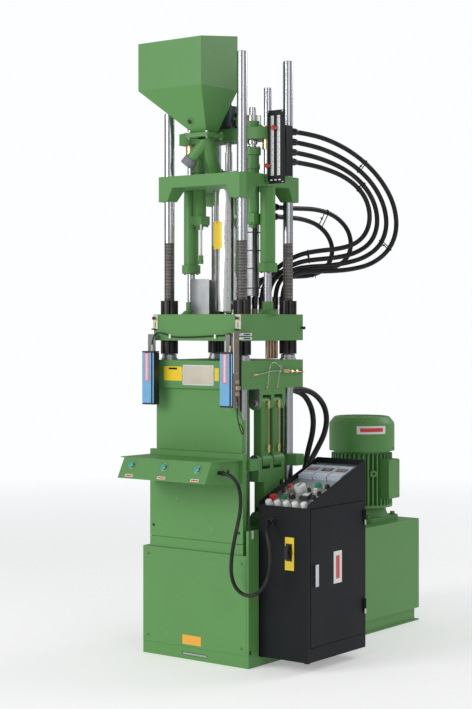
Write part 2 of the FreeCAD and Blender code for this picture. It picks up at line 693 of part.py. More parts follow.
def plasticising():
    top = CARRIAGE_TOP + 24
    nose = MOVING_T + FIXED_BOTTOM + FIXED_T + MOULD_GAP + GAP
    tube = post(BARREL_D, 0, 0, BARREL_BOTTOM, top)
    collar = post(BARREL_D + 46, 0, 0, CARRIAGE_TOP, CARRIAGE_TOP + 24)
    head = Part.makeCone(20, BARREL_D / 2, 26, V(0, 0, BARREL_BOTTOM - 26))
    nozzle = post(32, 0, 0, nose + 6, BARREL_BOTTOM - 26)
    tip = Part.makeCone(10, 16, 6, V(0, 0, nose))
    bore = post(SCREW_SHAFT_D + 2 * RUN, 0, 0, BARREL_BOTTOM + 14, top + 1)
    orifice = post(4, 0, 0, nose - 1, BARREL_BOTTOM + 15)
    feed = bar_along(30, (0, CHUTE_FOOT_Y, CARRIAGE_TOP - SLAB_T + 22), (0, 1, 0), -CHUTE_FOOT_Y)
    add("barrel", cut(fuse(tube, collar, head, nozzle, tip), bore, orifice, feed))
    bands = []
    pitch = (CORNER_BOTTOM - BARREL_BOTTOM - 20) / BAND_COUNT
    for k in range(BAND_COUNT):
        z = BARREL_BOTTOM + 8 + k * pitch
        bands.append(cut(post(BAND_D, 0, 0, z, z + BAND_H), post(BARREL_D, 0, 0, z - 1, z + 99)))
    add("heater_bands", *bands)
    # The screw turns in the barrel and is carried by the drive motor's coupling.
    screw = fuse(post(SCREW_SHAFT_D, 0, 0, BARREL_BOTTOM + 60, RAM_BOTTOM - 40),
                 post(SCREW_SHAFT_D - 6, 0, 0, RAM_BOTTOM - 40, RAM_BOTTOM + 20),
                 Part.makeCone(3, SCREW_SHAFT_D / 2, 30, V(0, 0, BARREL_BOTTOM + 30)))
    add("screw", screw)
    low = CARRIAGE_TOP - SLAB_T
    arc = []
    radius = 62.0
    for k in range(13):
        a = math.radians(135 + 15 * k)
        arc.append((radius * math.cos(a), radius * math.sin(a)))
    inner = [(x * (1 - 2.0 / radius), y * (1 - 2.0 / radius)) for x, y in reversed(arc)]
    guard = prism(arc + inner, "z", BARREL_BOTTOM - 34, low)
    add("barrel_guard", guard)


def walls_between(low_outer, low_inner, high_outer, high_inner):
    """Four mitred walls of a square funnel, from its corner rings."""
    walls = []
    for i in range(4):
        j = (i + 1) % 4
        walls.append(loft([low_outer[i], low_outer[j], low_inner[j], low_inner[i]],
                          [high_outer[i], high_outer[j], high_inner[j], high_inner[i]]))
    return walls


def hopper():
    out = HOPPER_OUTLET / 2
    flange_out = out + HOPPER_FLANGE

    def bin_ring(inset, z=None):
        x0, x1 = HOPPER_LEFT + inset, HOPPER_RIGHT - inset
        y0, y1 = HOPPER_FRONT + inset, HOPPER_REAR - inset
        if z is not None:
            return rect_ring(x0, x1, y0, y1, z)
        lean = HOPPER_RISE / (HOPPER_REAR - HOPPER_FRONT)
        front, back = HOPPER_TOP + inset * lean, HOPPER_TOP + HOPPER_RISE - inset * lean
        return [(x0, y0, front), (x1, y0, front), (x1, y1, back), (x0, y1, back)]

    def outlet_ring(half, z):
        return rect_ring(-half, half, HOPPER_OUTLET_Y - half, HOPPER_OUTLET_Y + half, z)

    t = HOPPER_SHEET
    bin_walls = walls_between(bin_ring(0, HOPPER_CREASE), bin_ring(t, HOPPER_CREASE),
                              bin_ring(0), bin_ring(t))
    cone_walls = walls_between(outlet_ring(out, HOPPER_OUTLET_Z), outlet_ring(out - t, HOPPER_OUTLET_Z),
                               bin_ring(0, HOPPER_CREASE), bin_ring(t, HOPPER_CREASE))
    low = HOPPER_OUTLET_Z - FLANGE_T
    flange = walls_between(outlet_ring(flange_out, low), outlet_ring(out - t, low),
                           outlet_ring(flange_out, HOPPER_OUTLET_Z), outlet_ring(out - t, HOPPER_OUTLET_Z))
    add("hopper", *bin_walls, *cone_walls, *flange)
    top = low
    plate = centred(2 * flange_out, 2 * flange_out, top - FLANGE_T, top, y=HOPPER_OUTLET_Y)
    start = V(0, HOPPER_OUTLET_Y, top - FLANGE_T / 2)
    foot = V(0, CHUTE_FOOT_Y, CARRIAGE_TOP + 2)
    way = foot - start
    bore_d = CHUTE_D - 10
    main = Part.makeCylinder(CHUTE_D / 2, way.Length, start, way)
    trim = block(-90, 90, -260, 60, CARRIAGE_TOP - 80, CARRIAGE_TOP)
    side_way = V(-0.56, -0.30, -0.77)
    branch = Part.makeCylinder(24, DRAIN_L, start - UP * 22, side_way)
    branch_end = start - UP * 22 + side_way.normalize() * DRAIN_L
    body = fuse(plate, main, branch).cut(trim)
    body = body.cut(Part.makeCylinder(bore_d / 2, way.Length + 30, start - way * 0.15, way))
    body = body.cut(Part.makeCylinder(19, DRAIN_L + 2, start - UP * 22, side_way))
    over = block(-90, 90, -260, 60, top, top + 60)
    add("hopper_chute", body.cut(over))
    cap = Part.makeCylinder(29, 34, branch_end - side_way * 30, side_way)
    cap = cap.cut(Part.makeCylinder(24 + GAP / 3, 31, branch_end - side_way * 31, side_way))
    add("drain_cap", cap)


def ram():
    w, e, sx, d = RAM_HALF_W, RAM_END_HALF_D, RAM_SHOULDER_X, RAM_HALF_D
    plan = [(-w, -e), (-sx, -d), (sx, -d), (w, -e), (w, e), (sx, d), (-sx, d), (-w, e)]
    top = RAM_BOTTOM + RAM_T
    plate = prism(plan, "z", RAM_BOTTOM, top)
    for s in (-1, 1):
        plate = plate.cut(post(BUSH_D, s * GUIDE_X, 0, RAM_BOTTOM - 1, top + 1))
        plate = plate.cut(post(INJ_ROD_D, s * INJ_X, INJ_Y, RAM_BOTTOM - 1, top + 1))
    plate = plate.cut(post(44, 0, 0, RAM_BOTTOM - 1, top + 1))
    add("ram_crosshead", plate)
    bushes = []
    for s in (-1, 1):
        bush = post(BUSH_D, s * GUIDE_X, 0, RAM_BOTTOM - BUSH_H, top)
        bushes.append(bush.cut(post(GUIDE_D + 2 * RUN, s * GUIDE_X, 0, RAM_BOTTOM - 99, top + 1)))
    add("ram_bushes", *bushes)
    rods = []
    for s in (-1, 1):
        x = s * INJ_X
        rods.append(fuse(post(INJ_ROD_D, x, INJ_Y, INJ_BOTTOM + 60, top + 84),
                         post(INJ_BORE - 2 * RUN, x, INJ_Y, INJ_BOTTOM + 60, INJ_BOTTOM + 90),
                         post(46, x, INJ_Y, top, top + 52),
                         post(40, x, INJ_Y, RAM_BOTTOM - 18, RAM_BOTTOM)))
    add("injection_rods", *rods)
    flange = centred(78, 78, top, top + 14)
    motor = fuse(flange, post(MOTOR_BODY_D, 0, 0, top + 14, top + MOTOR_BODY_H))
    add("hydraulic_motor", motor)


def stroke_scale():
    y0 = -54.0
    x0 = RAM_HALF_W + 3
    plate = block(x0, x0 + 80, y0, y0 + 10, CARRIAGE_TOP - 41, CARRIAGE_TOP + 253)
    slots = []
    for x in (x0 + 8, x0 + 40):
        slots.append(block(x - 3, x + 3, y0 - 1, y0 + 11, CARRIAGE_TOP - 10, CARRIAGE_TOP + 232))
    add("stroke_scale", cut(plate, *slots))
    for name, x, z in (("upper_pointer", x0 + 40, CARRIAGE_TOP + 181),
                       ("lower_pointer", x0 + 8, CARRIAGE_TOP + 31)):
        stem = bar_along(5, (x, y0 - 8, z), (0, 1, 0), 26)
        ball = Part.makeSphere(10, V(x, y0 - 16, z))
        keeper = bar_along(14, (x, y0 + 10 + GAP, z), (0, 1, 0), 5)
        washer = bar_along(14, (x, y0 - 4, z), (0, 1, 0), 4 - GAP)
        add(name, fuse(stem, ball, keeper, washer))


# ---------------------------------------------------------------- control cabinet
def cabinet():
    t = CAB_SHEET
    side = [(CAB_FRONT, CAB_BOTTOM), (CAB_BACK, CAB_BOTTOM), (CAB_BACK, CAB_BACK_H),
            (CAB_FRONT, CAB_FRONT_H)]
    outer = prism(side, "x", CAB_LEFT, CAB_RIGHT)
    drop = 22.0
    inner_side = [(CAB_FRONT + t, CAB_BOTTOM + t), (CAB_BACK - t, CAB_BOTTOM + t),
                  (CAB_BACK - t, CAB_BACK_H + 40), (CAB_FRONT + t, CAB_FRONT_H + 40)]
    inside = prism(inner_side, "x", CAB_LEFT + t, CAB_RIGHT - t)
    doorway = block(CAB_RIGHT - 2 * t, CAB_RIGHT + 1, CAB_FRONT + DOOR_EDGE, CAB_BACK - DOOR_EDGE,
                    DOOR_BOTTOM, DOOR_TOP)
    front_gap = prism([(CAB_FRONT - 1, CAB_FRONT_H - drop + 8), (CAB_FRONT + t + 1, CAB_FRONT_H - drop + 8),
                       (CAB_FRONT + t + 1, CAB_FRONT_H + 10), (CAB_FRONT - 1, CAB_FRONT_H + 10)],
                      "x", CAB_LEFT + t, CAB_RIGHT - t)
    pins = []
    for z in HINGE_HEIGHTS:
        pin = post(HINGE_PIN_D, HINGE_X, HINGE_Y, z - HINGE_H / 2, z + HINGE_H)
        knuckle = post(HINGE_D, HINGE_X, HINGE_Y, z - HINGE_H / 2, z - GAP)
        ear = block(CAB_RIGHT - t, HINGE_X, HINGE_Y, HINGE_Y + HINGE_D / 2, z - HINGE_H / 2, z - GAP)
        pins.append(fuse(pin, knuckle, ear))
    add("control_cabinet", fuse(cut(outer, inside, doorway, front_gap), *pins))
    slope = (CAB_BACK_H - CAB_FRONT_H) / (CAB_BACK - CAB_FRONT)
    y0, y1 = CAB_FRONT + t, CAB_BACK - t

    def surface(y):
        return CAB_FRONT_H - drop + slope * (y - CAB_FRONT)

    panel = prism([(y0, surface(y0)), (y1, surface(y1)), (y1, surface(y1) - t),
                   (y0, surface(y0) - t)], "x", CAB_LEFT + t, CAB_RIGHT - t)
    tilt = math.atan(slope)
    normal = V(0, -math.sin(tilt), math.cos(tilt))
    lamps = []
    for k in range(5):
        x = CAB_LEFT + 34 + 42.5 * k
        lamps.append(Part.makeCylinder(13, 18, V(x, CAB_FRONT + 24, surface(CAB_FRONT + 24)), normal))
    meter_y = CAB_FRONT + 92
    along = V(0, math.cos(tilt), math.sin(tilt))
    boxes = []
    for x, y, w, d, h in ((CAB_LEFT + 142, meter_y - 14, 40, 40, 14),
                          (CAB_LEFT + 14, 96, 66, 106, 16), (CAB_LEFT + 84, 96, 66, 106, 16),
                          (CAB_LEFT + 154, 96, 66, 106, 16)):
        corner = V(x, y, surface(y))
        face = Part.Face(Part.makePolygon([corner, corner + V(w, 0, 0), corner + V(w, 0, 0) + along * d,
                                           corner + along * d, corner]))
        boxes.append(face.extrude(normal * h))
    spots = {"stop_button": (CAB_LEFT + 26, meter_y - 26, 16, 16),
             "start_button": (CAB_LEFT + 66, meter_y - 12, 13, 10),
             "selector_knob": (CAB_LEFT + 106, meter_y - 8, 13, 20),
             "timer_knob": (CAB_LEFT + 92, meter_y + 66, 24, 24)}
    for name, (x, y, radius, height) in spots.items():
        foot = V(x, y, surface(y))
        stem_r = radius - 7
        hole = Part.makeCylinder(stem_r + GAP, 20, foot - normal * 10, normal)
        panel = panel.cut(hole)
        raise_by = BUTTON_TRAVEL + GAP if name.endswith("button") else GAP
        cap = Part.makeCylinder(radius, height, foot + normal * raise_by, normal)
        stem = Part.makeCylinder(stem_r, 12 + raise_by, foot - normal * 12, normal)
        add(name, fuse(cap, stem))
        print(name, x, y, foot.z)
    add("console_panel", panel, *lamps, *boxes)
    print("console normal", normal)
    door = block(CAB_RIGHT - DOOR_T + 1, CAB_RIGHT + 1, CAB_FRONT + DOOR_EDGE + 2,
                 CAB_BACK - DOOR_EDGE - 2, DOOR_BOTTOM + 2, DOOR_TOP - 2)
    lock_y, lock_z = CAB_FRONT + 51, 377.0
    lock_hole = bar_along(16 + 2 * GAP, (CAB_RIGHT - 9, lock_y, lock_z), (1, 0, 0), 20)
    barrels = []
    for z in HINGE_HEIGHTS:
        barrel = post(HINGE_D, HINGE_X, HINGE_Y, z, z + HINGE_H)
        leaf = block(CAB_RIGHT + 1, HINGE_X, HINGE_Y - HINGE_D, HINGE_Y, z, z + HINGE_H)
        barrels.append(cut(fuse(barrel, leaf),
                           post(HINGE_PIN_D + 2 * RUN, HINGE_X, HINGE_Y, z - 1, z + HINGE_H + 1)))
    add("cabinet_door", fuse(door, *barrels).cut(lock_hole))
    handle = fuse(block(CAB_RIGHT + 1 + GAP, CAB_RIGHT + 9, lock_y - 11, lock_y + 11,
                        lock_z - 44, lock_z + 42),
                  bar_along(16, (CAB_RIGHT - 8, lock_y, lock_z), (1, 0, 0), 14))
    add("door_handle", handle)
    ix, iz = CAB_LEFT + ISOLATOR_IN, ISOLATOR_Z
    boss = bar_along(34, (ix, CAB_FRONT - GAP, iz), (0, -1, 0), 8)
    grip = block(ix - 8, ix + 8, CAB_FRONT - 22, CAB_FRONT - 8, iz - 26, iz + 26)
    add("isolator_handle", fuse(boss, grip))


# ---------------------------------------------------------------- power unit
def power_unit():
    w = TANK_HALF_W
    front = BASE_BACK
    outer = block(-w, w, front, TANK_BACK, RAIL_H, TANK_TOP)
    inside = block(-w + 6, w - 6, front + 6, TANK_BACK - 6, RAIL_H + 6, TANK_TOP - 8)
    tank = outer.cut(inside)
    rails = []
    for s in (-1, 1):
        web = s * (w - 16)
        rails.append(block(web - 4, web + 4, front, TANK_BACK - 20, 0, RAIL_H))
        rails.append(block(min(web, s * w), max(web, s * w), front, TANK_BACK, 0, 6))
    rails.append(block(-w + 16, w - 16, TANK_BACK - 28, TANK_BACK - 20, 0, RAIL_H))
    rails.append(block(-w, w, TANK_BACK - 28, TANK_BACK, 0, 6))
    add("oil_tank", fuse(tank, *rails))
    half = MOTOR_FLANGE / 2
    foot = round_edges(centred(2 * half, 2 * half, TANK_TOP, TANK_TOP + 22, MOTOR_X, MOTOR_Y), 24, "z")
    bell = Part.makeCone(118, 104, ADAPTER_TOP - TANK_TOP - 22, V(MOTOR_X, MOTOR_Y, TANK_TOP + 22))
    bell_hole = post(120, MOTOR_X, MOTOR_Y, TANK_TOP + 21, ADAPTER_TOP + 1)
    adapter = cut(fuse(foot, bell), bell_hole)
    outline = []
    step = 2 * math.pi / FIN_COUNT
    for k in range(FIN_COUNT):
        a = k * step
        for r, d in ((CORE_R, -0.30), (FIN_R, -0.16), (FIN_R, 0.16), (CORE_R, 0.30)):
            outline.append((MOTOR_X + r * math.cos(a + d * step), MOTOR_Y + r * math.sin(a + d * step)))
    body = prism(outline, "z", FINS_BOTTOM, COWL_BOTTOM - 8)
    flange = post(2 * FIN_R, MOTOR_X, MOTOR_Y, ADAPTER_TOP, FINS_BOTTOM)
    cap = post(2 * FIN_R - 24, MOTOR_X, MOTOR_Y, COWL_BOTTOM - 8, COWL_BOTTOM + 30)
    terminal = centred(40, 90, FINS_BOTTOM + 30, COWL_BOTTOM - 30, MOTOR_X + FIN_R + 8, MOTOR_Y)
    shaft_hole = post(28 + 2 * RUN, MOTOR_X, MOTOR_Y, COWL_BOTTOM - 40, COWL_BOTTOM + 31)
    add("motor_body", cut(fuse(body, flange, cap, terminal), shaft_hole), adapter)
    radius = COWL_FLATS / 2 / math.cos(math.pi / 8)

    def octagon(r, z):
        return [(MOTOR_X + r * math.cos(math.pi / 8 + k * math.pi / 4),
                 MOTOR_Y + r * math.sin(math.pi / 8 + k * math.pi / 4), z) for k in range(8)]

    shoulder = COWL_TOP - 34

    def hood(r, low, high, bend):
        return fuse(loft(octagon(r, low), octagon(r, bend)), loft(octagon(r, bend), octagon(r - 34, high)))

    cowl = hood(radius, COWL_BOTTOM, COWL_TOP, shoulder).cut(
        hood(radius - 3, COWL_BOTTOM - 1, COWL_TOP - 3, shoulder))
    grille = []
    for ring in range(1, 6):
        pitch = 18.0 * ring
        for k in range(6 * ring):
            a = 2 * math.pi * k / (6 * ring)
            grille.append(post(11, MOTOR_X + pitch * math.cos(a), MOTOR_Y + pitch * math.sin(a),
                               COWL_TOP - 10, COWL_TOP + 2))
    cowl = cowl.cut(Part.makeCompound(grille))
    ring = cut(post(2 * FIN_R - 24 + 14, MOTOR_X, MOTOR_Y, COWL_BOTTOM, COWL_BOTTOM + 4),
               post(2 * FIN_R - 24, MOTOR_X, MOTOR_Y, COWL_BOTTOM - 1, COWL_BOTTOM + 5))
    spokes = []
    for k in range(4):
        arm = block(FIN_R - 8, COWL_FLATS / 2 - 2, -8, 8, COWL_BOTTOM, COWL_BOTTOM + 4)
        arm.rotate(V(0, 0, 0), UP, 90 * k)
        arm.translate(V(MOTOR_X, MOTOR_Y, 0))
        spokes.append(arm)
    add("motor_cowl", fuse(cowl, ring, *spokes))
    hub_low = COWL_BOTTOM + 34
    hub = fuse(post(28, MOTOR_X, MOTOR_Y, COWL_BOTTOM - 36, hub_low + 44),
               post(70, MOTOR_X, MOTOR_Y, hub_low, hub_low + 40))
    blades = []
    for k in range(8):
        blade = block(30, 112, -2, 2, hub_low + 2, hub_low + 38)
        blade.rotate(V(0, 0, 0), UP, 45 * k)
        blade.translate(V(MOTOR_X, MOTOR_Y, 0))
        blades.append(blade)
    add("motor_fan", fuse(hub, *blades))
    manifold = block(60, 200, 290, 470, TANK_TOP, 610)
    valves = []
    for k in range(3):
        y = 315 + 52 * k
        valves.append(block(-40, 60, y, y + 38, 490, 528))
        valves.append(block(-40, 60, y, y + 38, 550, 588))
    add("valve_block", fuse(manifold, *valves))


# ---------------------------------------------------------------- hoses and cables
UPPER_HOSES = [
    [(232, 100, 2145), (264, 195, 2142), (308, 310, 2118), (356, 430, 2064), (394, 540, 1980),
     (414, 624, 1876), (416, 650, 1764), (398, 616, 1672), (358, 540, 1610), (306, 458, 1586),
     (253, 380, 1578), (218, 312, 1576), (183, 256, 1574), (153, 214, 1546), (136, 190, 1494),
     (136, 190, 1434)],
    [(232, 100, 2104), (260, 195, 2098), (300, 310, 2074), (342, 425, 2024), (374, 520, 1952),
     (390, 585, 1864), (392, 606, 1770), (376, 576, 1688), (342, 504, 1636), (294, 430, 1612),
     (242, 366, 1600), (192, 306, 1596), (152, 256, 1586), (118, 214, 1552), (100, 190, 1496),
     (100, 190, 1434)],
    [(232, 100, 2062), (256, 190, 2056), (290, 300, 2036), (326, 405, 1998), (352, 490, 1942),
     (366, 552, 1866), (368, 570, 1778), (354, 540, 1702), (322, 470, 1656), (276, 400, 1636),
     (222, 340, 1628), (168, 292, 1620), (124, 250, 1596), (84, 212, 1552), (64, 190, 1494),
     (64, 190, 1434)],
    [(232, 100, 2022), (252, 190, 2018), (282, 290, 2004), (312, 385, 1978), (336, 460, 1936),
     (350, 512, 1880), (354, 532, 1808), (346, 512, 1740), (326, 460, 1694), (286, 394, 1672),
     (228, 334, 1664), (166, 282, 1650), (104, 240, 1612), (57, 206, 1558), (28, 190, 1494),
     (28, 190, 1434)],
]
LOWER_HOSES = [
    [(146, 100, 1840), (148, 190, 1838), (156, 288, 1842), (168, 386, 1844), (182, 476, 1832),
     (194, 550, 1800), (202, 600, 1752), (206, 610, 1688), (202, 574, 1632), (190, 510, 1600),
     (168, 440, 1590), (134, 378, 1586), (96, 322, 1582), (50, 266, 1574), (12, 216, 1544),
     (-8, 190, 1490), (-8, 190, 1434)],
    [(146, 100, 1800), (142, 182, 1800), (138, 270, 1802), (140, 356, 1798), (148, 436, 1780),
     (156, 498, 1742), (160, 532, 1688), (156, 524, 1626), (142, 476, 1582), (118, 424, 1562),
     (84, 372, 1558), (40, 320, 1556), (-4, 268, 1552), (-32, 222, 1532), (-44, 190, 1484),
     (-44, 190, 1434)],
]
REAR_HOSES = [
    [(142, 213, 1076), (142, 262, 1078), (150, 322, 1078), (160, 396, 1056), (168, 452, 1008),
     (170, 474, 948), (166, 462, 884), (158, 424, 828), (148, 382, 772), (140, 352, 712),
     (138, 344, 660), (138, 344, 610)],
    [(104, 213, 1074), (104, 254, 1076), (114, 306, 1074), (126, 366, 1052), (132, 408, 1000),
     (134, 424, 940), (130, 420, 880), (120, 406, 820), (110, 398, 760), (104, 396, 706),
     (100, 396, 656), (100, 396, 610)],
]
CONDUIT_ROUTE = [
    (223, -353, 777), (270, -353, 777), (310, -347, 746), (318, -337, 694), (309, -326, 640),
    (288, -315, 582), (260, -304, 508), (240, -295, 440), (232, -287, 376), (246, -279, 324),
    (286, -272, 296), (336, -266, 302), (374, -260, 338), (392, -252, 388), (394, -246, 440),
    (388, -242, 488), (374, -238, 532), (350, -216, 568), (338, -160, 580)
]


def hoses():
    add("upper_hoses", *[hose(p, HOSE_D, "upper hose") for p in UPPER_HOSES])
    add("lower_hoses", *[hose(p, HOSE_D, "lower hose") for p in LOWER_HOSES])
    add("rear_hoses", *[hose(p, REAR_HOSE_D, "rear hose") for p in REAR_HOSES])
    add("front_cables", hose(CONDUIT_ROUTE, CONDUIT_D, "console conduit"))
    top = FIXED_BOTTOM + FIXED_T + MOULD_GAP + MOVING_T
    ends = [p[-1] for p in UPPER_HOSES + LOWER_HOSES]
    fittings = [fuse(post(30, x, y, top, top + 24), post(HOSE_D + 4, x, y, top + 24, z))
                for x, y, z in ends]
    add("hose_fittings", *fittings)


base()
uprights()
covers()
shelf()
fixed_platen()
toggles()
crosshead()
clamp_cylinder()
moving_platen()
light_sensors()
carriage()
plasticising()
hopper()
ram()
stroke_scale()
cabinet()
power_unit()
hoses()

os.makedirs("parts", exist_ok=True)
for node, shape in SHAPES.items():
    shape.exportStep("parts/%s.step" % node)
print(len(SHAPES), "nodes")
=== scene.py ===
"""Looks of a vertical plug-type injection moulding machine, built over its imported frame."""

import json
import logging
import math
from dataclasses import dataclass
from enum import Enum
from typing import Iterator, Sequence

import bmesh
import bpy
from mathutils import Matrix, Vector

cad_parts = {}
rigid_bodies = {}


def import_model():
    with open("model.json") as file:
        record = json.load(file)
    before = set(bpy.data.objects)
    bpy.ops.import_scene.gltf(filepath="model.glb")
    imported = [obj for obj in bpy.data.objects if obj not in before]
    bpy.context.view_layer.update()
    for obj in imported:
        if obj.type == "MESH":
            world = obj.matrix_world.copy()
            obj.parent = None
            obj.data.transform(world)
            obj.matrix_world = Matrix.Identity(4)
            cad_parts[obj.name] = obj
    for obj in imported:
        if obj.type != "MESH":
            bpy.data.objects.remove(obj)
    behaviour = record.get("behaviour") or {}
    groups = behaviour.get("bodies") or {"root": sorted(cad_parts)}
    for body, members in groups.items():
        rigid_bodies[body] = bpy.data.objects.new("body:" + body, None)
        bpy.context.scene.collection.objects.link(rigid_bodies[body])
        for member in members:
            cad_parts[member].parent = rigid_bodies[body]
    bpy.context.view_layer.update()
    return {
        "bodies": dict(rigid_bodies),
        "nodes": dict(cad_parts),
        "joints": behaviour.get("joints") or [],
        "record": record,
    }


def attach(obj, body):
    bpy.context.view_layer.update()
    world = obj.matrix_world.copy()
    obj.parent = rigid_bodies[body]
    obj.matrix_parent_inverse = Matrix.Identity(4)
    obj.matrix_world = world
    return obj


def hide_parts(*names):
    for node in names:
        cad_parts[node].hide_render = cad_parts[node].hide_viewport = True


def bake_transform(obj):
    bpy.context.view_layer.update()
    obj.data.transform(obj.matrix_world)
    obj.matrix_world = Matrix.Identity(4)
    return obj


log = logging.getLogger("moulding_machine")

Point = tuple[float, float, float]
Flat = tuple[float, float]
Region = tuple[Point, Point]
SMOOTH_ANGLE = math.radians(26)
MERGE = 1e-6
BUTTON_LIFT = 0.0043
BUTTON_LIP = 0.007
BUTTON_DEPTH = 0.011
BEND_STEP = 6
UP: Point = (0, 0, 1)
DOWN: Point = (0, 0, -1)
AHEAD: Point = (0, -1, 0)
BEHIND: Point = (0, 1, 0)
RIGHT: Point = (1, 0, 0)
LEFT: Point = (-1, 0, 0)


class Body(str, Enum):
    """The moving bodies that pieces ride on."""

    FRAME = "machine_frame"
    CLAMP = "clamp"
    CARRIAGE = "carriage"
    RAM = "ram"
    DOOR = "cabinet_door"
    UPPER_LINK_RIGHT = "upper_link_right"
    UPPER_POINTER = "upper_pointer"
    LOWER_POINTER = "lower_pointer"
    SELECTOR = "selector_knob"
    TIMER = "timer_knob"
    STOP = "stop_button"
    START = "start_button"
    SHELF_LEFT = "shelf_button_left"
    SHELF_MIDDLE = "shelf_button_middle"
    SHELF_RIGHT = "shelf_button_right"


# ---------------------------------------------------------------- shader maths
class Value:
    """One shader socket, whose arithmetic adds Math nodes to its graph."""

    def __init__(self, graph: "Graph", socket: bpy.types.NodeSocket) -> None:
        """Wrap a socket.

        Args:
            graph: the graph that the socket belongs to.
            socket: an output socket of one of its nodes.
        """
        self.graph = graph
        self.socket = socket

    def maths(self, operation: str, *others: "Number") -> "Value":
        """Apply one Math operation to this value.

        Args:
            operation: the Math node's operation.
            others: the other operands, in order.

        Returns:
            The result as a new value.
        """
        inputs = dict(enumerate((self, *others)))
        return self.graph.node("ShaderNodeMath", {"operation": operation}, inputs)

    def __add__(self, other: "Number") -> "Value":
        """Return the sum."""
        return self.maths("ADD", other)

    def __mul__(self, other: "Number") -> "Value":
        """Return the product."""
        return self.maths("MULTIPLY", other)

    def __sub__(self, other: "Number") -> "Value":
        """Return self - other."""
        return self.maths("SUBTRACT", other)

    def __rsub__(self, other: "Number") -> "Value":
        """Return other - self."""
        return self.graph.node("ShaderNodeMath", {"operation": "SUBTRACT"}, {0: other, 1: self})

    def __gt__(self, other: "Number") -> "Value":
        """Return 1 where self is above other, else 0."""
        return self.maths("GREATER_THAN", other)

    def __pow__(self, other: "Number") -> "Value":
        """Return self to the power of other."""
        return self.maths("POWER", other)

    __radd__ = __add__
    __rmul__ = __mul__


Number = Value | float
Colour = tuple[float, float, float]


def shade(colour: Colour, factor: float) -> Colour:
    """Return a colour made lighter or darker by a factor."""
    return tuple(min(1.0, c * factor) for c in colour)


def rgba(colour: Colour) -> tuple[float, float, float, float]:
    """Return an opaque colour with its alpha."""
    return (*colour, 1.0)


class Graph:
    """A material's node graph with one Principled shader."""

    def __init__(self, name: str) -> None:
        """Start an empty graph for a new material.

        Args:
            name: the material's name.
        """
        self.material = bpy.data.materials.new(name)
        self.material.use_nodes = True
        self.tree = self.material.node_tree
        self.tree.nodes.clear()
        self.shader = self.tree.nodes.new("ShaderNodeBsdfPrincipled")
        end = self.tree.nodes.new("ShaderNodeOutputMaterial")
        self.tree.links.new(self.shader.outputs["BSDF"], end.inputs["Surface"])
        self.place = self.node("ShaderNodeTexCoord", {}, {}, "Object")

    def node(self, kind: str, settings: dict, inputs: dict, output: int | str = 0) -> Value:
        """Add a node, set it up and fill its sockets.

        Args:
            kind: the node's type name.
            settings: its properties, with a ramp's stops under "stops".
            inputs: values or links by socket name or index.
            output: the socket to return.

        Returns:
            That output as a value.
        """
        node = self.tree.nodes.new(kind)
        for key, setting in settings.items():
            if key == "stops":
                self._set_stops(node.color_ramp, setting)
            else:
                setattr(node, key, setting)
        for key, content in inputs.items():
            if isinstance(content, Value):
                self.tree.links.new(content.socket, node.inputs[key])
            else:
                node.inputs[key].default_value = content
        return Value(self, node.outputs[output])

    @staticmethod
    def _set_stops(ramp: bpy.types.ColorRamp, stops: Sequence[tuple[float, Colour]]) -> None:
        """Give a colour ramp its stops.

        Args:
            ramp: the ramp.
            stops: places from 0 to 1 with their colours.
        """
        while len(ramp.elements) > len(stops):
            ramp.elements.remove(ramp.elements[-1])
        while len(ramp.elements) < len(stops):
            ramp.elements.new(1.0)
        for element, (position, colour) in zip(ramp.elements, stops):
            element.position = position
            element.color = rgba(colour)

    def noise(self, scale: float, detail: float = 2.0, stretch: Point = (1, 1, 1)) -> Value:
        """Return noise on the piece's own place.

        Args:
            scale: features per metre.
            detail: octaves.
            stretch: how much finer the noise is along each axis.

        Returns:
            The noise factor from 0 to 1.
        """
        where = self.node("ShaderNodeMapping", {}, {"Vector": self.place, "Scale": stretch})
        return self.node("ShaderNodeTexNoise", {}, {"Vector": where, "Scale": scale, "Detail": detail})

    def mix(self, factor: Number, low: Value | Colour, high: Value | Colour) -> Value:
        """Return the colour between two colours.

        Args:
            factor: 0 for low and 1 for high.
            low: a colour or a colour value.
            high: a colour or a colour value.

        Returns:
            The mixed colour.
        """
        low_in, high_in = (c if isinstance(c, Value) else rgba(c) for c in (low, high))
        return self.node("ShaderNodeMix", {"data_type": "RGBA"}, {0: factor, 6: low_in, 7: high_in}, 2)

    def ramp(self, factor: Value, stops: Sequence[tuple[float, Colour]]) -> Value:
        """Return the colour that a ramp gives a factor."""
        return self.node("ShaderNodeValToRGB", {"stops": stops}, {0: factor})

    def bump(self, height: Value, strength: float, distance: float) -> None:
        """Raise the shader's surface by a height value.

        Args:
            height: the height from 0 to 1.
            strength: how much the bump shows.
            distance: the height in metres.
        """
        inputs = {"Height": height, "Strength": strength, "Distance": distance}
        self.feed("Normal", self.node("ShaderNodeBump", {}, inputs))

    def feed(self, name: str, content: Number) -> None:
        """Set or link one of the shader's sockets."""
        if isinstance(content, Value):
            self.tree.links.new(content.socket, self.shader.inputs[name])
        else:
            self.shader.inputs[name].default_value = content


# ---------------------------------------------------------------- finishes
@dataclass(frozen=True)
class Finish:
    """A surface finish, the base of all of them.

    Each finish makes its material once and hands out the same one after that.
    """

    name: str
    slot: str
    colour: Colour
    roughness: float = 0.5

    def material(self) -> bpy.types.Material:
        """Return the finish's material, made on first use."""
        found = bpy.data.materials.get("finish_" + self.name)
        if found:
            return found
        graph = Graph("finish_" + self.name)
        self.dress(graph)
        graph.material.diffuse_color = rgba(self.colour)
        return graph.material

    def dress(self, graph: Graph) -> None:
        """Fill the graph: plain colour with faint mottling.

        Args:
            graph: the finish's own graph.
        """
        mottle = graph.noise(90.0, 3.0)
        graph.feed("Base Color", graph.mix(mottle, shade(self.colour, 0.9), shade(self.colour, 1.08)))
        graph.feed("Roughness", mottle * 0.12 + (self.roughness - 0.06))


